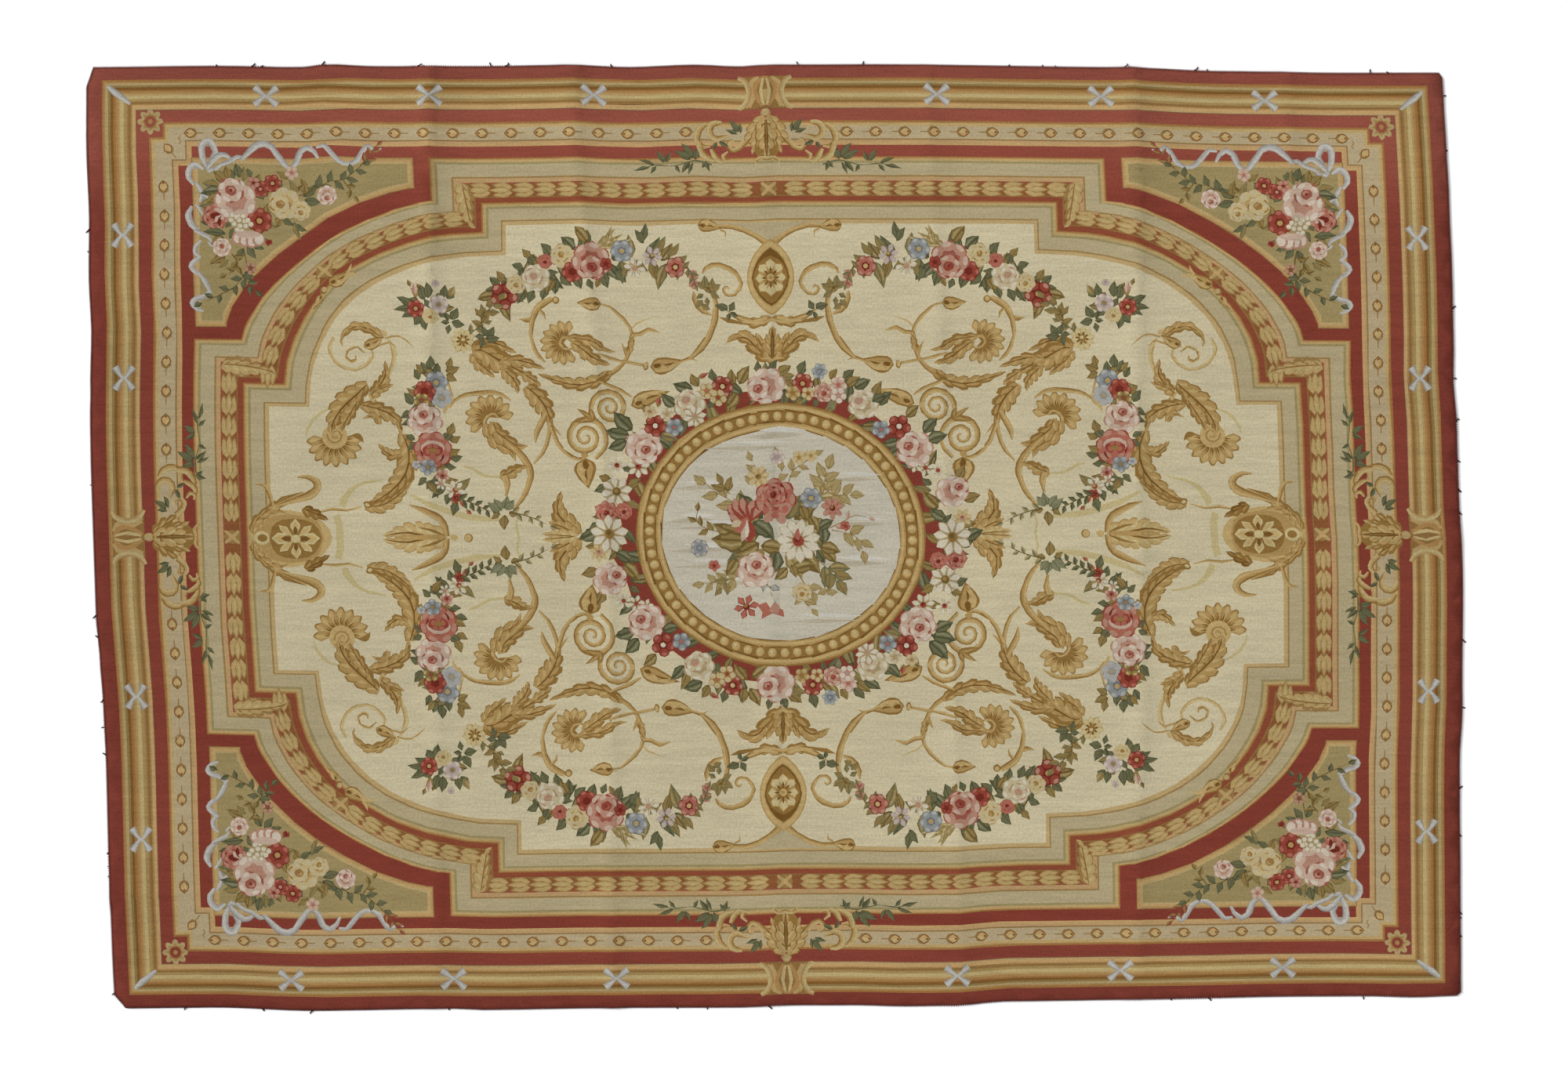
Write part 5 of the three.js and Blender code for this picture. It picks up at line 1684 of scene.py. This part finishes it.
# Weave: flat ribs of packed weft yarn over the warps, with streaks where the dye varies
def newGroup(name, inputs, outputs):
    group = bpy.data.node_groups.new(name, "ShaderNodeTree")
    for kind, label, value in inputs:
        socket = group.interface.new_socket(label, in_out="INPUT", socket_type=kind)
        if value is not None:
            socket.default_value = value
    for kind, label in outputs:
        group.interface.new_socket(label, in_out="OUTPUT", socket_type=kind)
    return group, group.nodes.new("NodeGroupInput"), group.nodes.new("NodeGroupOutput")


def mathNode(tree, operation, first, second=None):
    node = tree.nodes.new("ShaderNodeMath")
    node.operation = operation
    for k, value in enumerate((first, second)):
        if value is None:
            continue
        if isinstance(value, (int, float)):
            node.inputs[k].default_value = value
        else:
            tree.links.new(value, node.inputs[k])
    return node.outputs[0]


def noiseNode(tree, vector, stretch, detail):
    mapping = tree.nodes.new("ShaderNodeMapping")
    mapping.inputs["Scale"].default_value = stretch
    tree.links.new(vector, mapping.inputs["Vector"])
    noise = tree.nodes.new("ShaderNodeTexNoise")
    noise.inputs["Scale"].default_value = 1.0
    noise.inputs["Detail"].default_value = detail
    tree.links.new(mapping.outputs[0], noise.inputs["Vector"])
    return noise.outputs["Fac"]


def weaveGroup():
    group, given, result = newGroup(
        "woolWeave",
        [("NodeSocketColor", "Yarn Colour", (0.5, 0.5, 0.5, 1)),
         ("NodeSocketFloat", "Streaks", 0.1), ("NodeSocketFloat", "Blotches", 0.06),
         ("NodeSocketFloat", "Fleck", 0.1), ("NodeSocketFloat", "Warps per Metre", 420.0),
         ("NodeSocketFloat", "Wefts per Metre", 1150.0)],
        [("NodeSocketColor", "Colour"), ("NodeSocketFloat", "Height")])
    place = group.nodes.new("ShaderNodeTexCoord").outputs["Object"]
    streak = noiseNode(group, place, (24, 290, 1), 3)
    band = noiseNode(group, place, (5, 62, 1), 2)
    blotch = noiseNode(group, place, (3.1, 4.3, 1), 3)
    fleck = noiseNode(group, place, (250, 190, 1), 2)

    def plus(first, second):
        return mathNode(group, "ADD", first, second)

    def times(first, second):
        return mathNode(group, "MULTIPLY", first, second)

    def less(first, second):
        return mathNode(group, "SUBTRACT", first, second)

    streak, band, blotch, fleck = (less(value, 0.5) for value in (streak, band, blotch, fleck))
    streaks = times(plus(streak, times(band, 0.8)), given.outputs["Streaks"])
    tone = plus(streaks, times(blotch, given.outputs["Blotches"]))
    tone = plus(plus(tone, times(fleck, given.outputs["Fleck"])), 1.0)
    scale = group.nodes.new("ShaderNodeVectorMath")
    scale.operation = "SCALE"
    group.links.new(given.outputs["Yarn Colour"], scale.inputs[0])
    group.links.new(tone, scale.inputs["Scale"])
    group.links.new(scale.outputs[0], result.inputs["Colour"])
    # Height of one weft yarn passing over and under the warps, each row half a step along
    split = group.nodes.new("ShaderNodeSeparateXYZ")
    group.links.new(place, split.inputs[0])
    row = times(split.outputs["Y"], given.outputs["Wefts per Metre"])
    column = times(split.outputs["X"], given.outputs["Warps per Metre"])
    across = less(mathNode(group, "FRACT", row), 0.5)
    roundness = less(1.0, times(times(across, across), 4.0))
    phase = times(plus(column, mathNode(group, "FLOOR", row)), math.pi)
    over = times(plus(mathNode(group, "COSINE", phase), 1.0), 0.5)
    ribs = times(roundness, plus(times(over, 0.6), 0.4))
    slub = times(plus(streak, fleck), 0.5)
    group.links.new(plus(ribs, slub), result.inputs["Height"])
    return group


weave = weaveGroup()
woolLook = {"Streaks": 0.36, "Blotches": 0.2, "Fleck": 0.55, "roughness": 0.96, "specular": 0.02,
            "weaveBump": 0.25, "weaveDepth": 0.0004}


def woolMaterial(name, colourNode, look):
    material = bpy.data.materials.new(name)
    material.use_nodes = True
    tree = material.node_tree
    shader = tree.nodes["Principled BSDF"]
    shader.inputs["Roughness"].default_value = look["roughness"]
    shader.inputs["Specular IOR Level"].default_value = look["specular"]
    effect = tree.nodes.new("ShaderNodeGroup")
    effect.node_tree = weave
    for label in ("Streaks", "Blotches", "Fleck"):
        effect.inputs[label].default_value = look[label]
    tree.links.new(colourNode(tree), effect.inputs["Yarn Colour"])
    bump = tree.nodes.new("ShaderNodeBump")
    bump.inputs["Strength"].default_value = look["weaveBump"]
    bump.inputs["Distance"].default_value = look["weaveDepth"]
    tree.links.new(effect.outputs["Colour"], shader.inputs["Base Color"])
    tree.links.new(effect.outputs["Height"], bump.inputs["Height"])
    tree.links.new(bump.outputs["Normal"], shader.inputs["Normal"])
    return material


def yarnAttribute(tree):
    node = tree.nodes.new("ShaderNodeVertexColor")
    node.layer_name = "yarn"
    return node.outputs["Color"]


def plainColour(tones):
    def make(tree):
        node = tree.nodes.new("ShaderNodeRGB")
        node.outputs[0].default_value = [linear(tone) / room["whiteAt"] for tone in tones] + [1.0]
        return node.outputs[0]
    return make


rugMesh.materials.append(woolMaterial("woolTapestry", yarnAttribute, woolLook))
print("weave material ready")

# Overcast edge: dark yarn whipped over the rim, a little uneven, with loose ends
edgeYarnPlan = {"pitch": 4.8, "thickness": 2.1, "reach": 3.6, "seed": 11, "colour": (96, 46, 42)}
looseEndPlan = {"count": 56, "thickness": 2.7, "length": (7, 17), "seed": 23, "colour": (52, 26, 28)}


def tube(path, radius, sides=5):
    # Round yarn along a path of points, closed at both ends
    path = np.asarray(path, float)
    tangent = np.gradient(path, axis=0)
    tangent /= np.maximum(np.linalg.norm(tangent, axis=1), 1e-9)[:, None]
    start = np.array([0.3, 0.2, 0.9])
    side = np.cross(tangent, start)
    side /= np.maximum(np.linalg.norm(side, axis=1), 1e-9)[:, None]
    other = np.cross(tangent, side)
    angle = np.arange(sides) / sides * 2 * math.pi
    radii = np.full(len(path), radius)
    radii[[0, -1]] *= 0.55
    rings = (path[:, None] + radii[:, None, None] * (np.cos(angle)[None, :, None] * side[:, None]
                                                     + np.sin(angle)[None, :, None] * other[:, None]))
    vertices = np.vstack([rings.reshape(-1, 3), path[:1], path[-1:]])
    triangles = []
    for k in range(len(path) - 1):
        for j in range(sides):
            a, b = k * sides + j, k * sides + (j + 1) % sides
            triangles += [(a, a + sides, b), (b, a + sides, b + sides)]
    first, last = len(path) * sides, len(path) * sides + 1
    for j in range(sides):
        nextJ = (j + 1) % sides
        triangles.append((first, j, nextJ))
        triangles.append((last, (len(path) - 1) * sides + nextJ, (len(path) - 1) * sides + j))
    return vertices, np.array(triangles)


def joined(name, parts, colour):
    vertices, triangles, start = [], [], 0
    for partVertices, partTriangles in parts:
        vertices.append(partVertices)
        triangles.append(partTriangles + start)
        start += len(partVertices)
    vertices = np.vstack(vertices)
    vertices[:, 2] = np.maximum(vertices[:, 2], cloth["floorGap"])
    piece = bpy.data.objects.new(name, meshFrom(name, vertices * mm, np.vstack(triangles)))
    scene.collection.objects.link(piece)
    piece.data.materials.append(woolMaterial(name + "Wool", plainColour(colour), woolLook))
    return piece


def rimTrack(step):
    # Points along the rim's middle line with their outward direction, at even steps
    line = np.vstack([rimMiddle, rimMiddle[:1]])
    travelled = lengthsAlong(line)
    at = np.arange(0, travelled[-1] - step / 2, step)
    track = np.column_stack([np.interp(at, travelled, line[:, k]) for k in range(3)])
    out = -normals(np.vstack([track[-1:, :2], track[:, :2], track[:1, :2]]))[1:-1]
    return track, np.column_stack([out, np.zeros(len(out))])


random = np.random.default_rng(edgeYarnPlan["seed"])
track, outwards = rimTrack(edgeYarnPlan["pitch"])
stitches = []
lean = np.roll(track, -1, axis=0) - track
half = cloth["thickness"] / 2
for middle, out, ahead in zip(track, outwards, lean):
    wobble = random.normal(0, 0.35, 3)
    reach = edgeYarnPlan["reach"] + wobble[0]
    gap = edgeYarnPlan["thickness"] / 2
    arc = [(-reach, half + 0.15), (-0.3, half + gap * 0.8), (gap + 0.5, 0.1), (-0.2, -half + 0.7)]
    path = [middle + out * across + (0, 0, up) + ahead * share * 0.9 + (0, 0, 0.1 * wobble[1])
            for (across, up), share in zip(arc, (-0.5, -0.1, 0.2, 0.5))]
    stitches.append(tube(path, gap * (1 + 0.12 * wobble[2]), 4))
edgeYarn = joined("overcastEdge", stitches, edgeYarnPlan["colour"])

random = np.random.default_rng(looseEndPlan["seed"])
ends = []
for k in random.choice(len(track), looseEndPlan["count"], replace=False):
    length = random.uniform(*looseEndPlan["length"])
    out, side = outwards[k], np.array([-outwards[k][1], outwards[k][0], 0])
    curl = random.uniform(-1.2, 1.2)
    t = np.linspace(0, 1, 8)
    path = track[k] + np.outer(t * length * 0.55, out) + np.outer(np.sin(t * curl * 2) * length * 0.5, side)
    path = path + np.outer(t, (0, 0, 0.7 - track[k][2])) * (1 - (1 - t[:, None]) ** 2)
    ends.append(tube(path, looseEndPlan["thickness"] / 2, 5))
looseEnds = joined("looseEnds", ends, looseEndPlan["colour"])
print("edge yarn:", len(track), "stitches,", len(ends), "loose ends")

# Floor and light
floorPlan = {"reach": 9, "tone": 0.98, "roughness": 0.9}
floorCorners = [(x, y, 0) for x, y in rectangle(floorPlan["reach"], floorPlan["reach"])]
floorMesh = meshFrom("studioFloor", floorCorners, [(0, 1, 2), (0, 2, 3)])
floor = bpy.data.objects.new("studioFloor", floorMesh)
scene.collection.objects.link(floor)
floorMaterial = bpy.data.materials.new("palePaper")
floorMaterial.use_nodes = True
floorShader = floorMaterial.node_tree.nodes["Principled BSDF"]
floorShader.inputs["Base Color"].default_value = [floorPlan["tone"]] * 3 + [1]
floorShader.inputs["Roughness"].default_value = floorPlan["roughness"]
floorMesh.materials.append(floorMaterial)

sky = bpy.data.worlds.new("softRoom")
sky.use_nodes = True
sky.node_tree.nodes["Background"].inputs["Color"].default_value = (1, 1, 1, 1)
sky.node_tree.nodes["Background"].inputs["Strength"].default_value = room["skyStrength"]
scene.world = sky
keyLight = bpy.data.lights.new("softKey", "SUN")
keyLight.energy = room["keyPower"]
keyLight.angle = room["keySoftness"]
key = bpy.data.objects.new("softKey", keyLight)
key.location = room["keyFrom"]
key.rotation_mode = "QUATERNION"
key.rotation_quaternion = (-Vector(room["keyFrom"])).to_track_quat("-Z", "Y")
scene.collection.objects.link(key)
scene.view_settings.view_transform = "Standard"
print("room lit")

# The rug and its yarns in the frame
for piece, slotName in ((rug, "wool_weave"), (edgeYarn, "edge_yarn"), (looseEnds, "edge_yarn")):
    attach(piece, "root")
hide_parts("woven_rug")
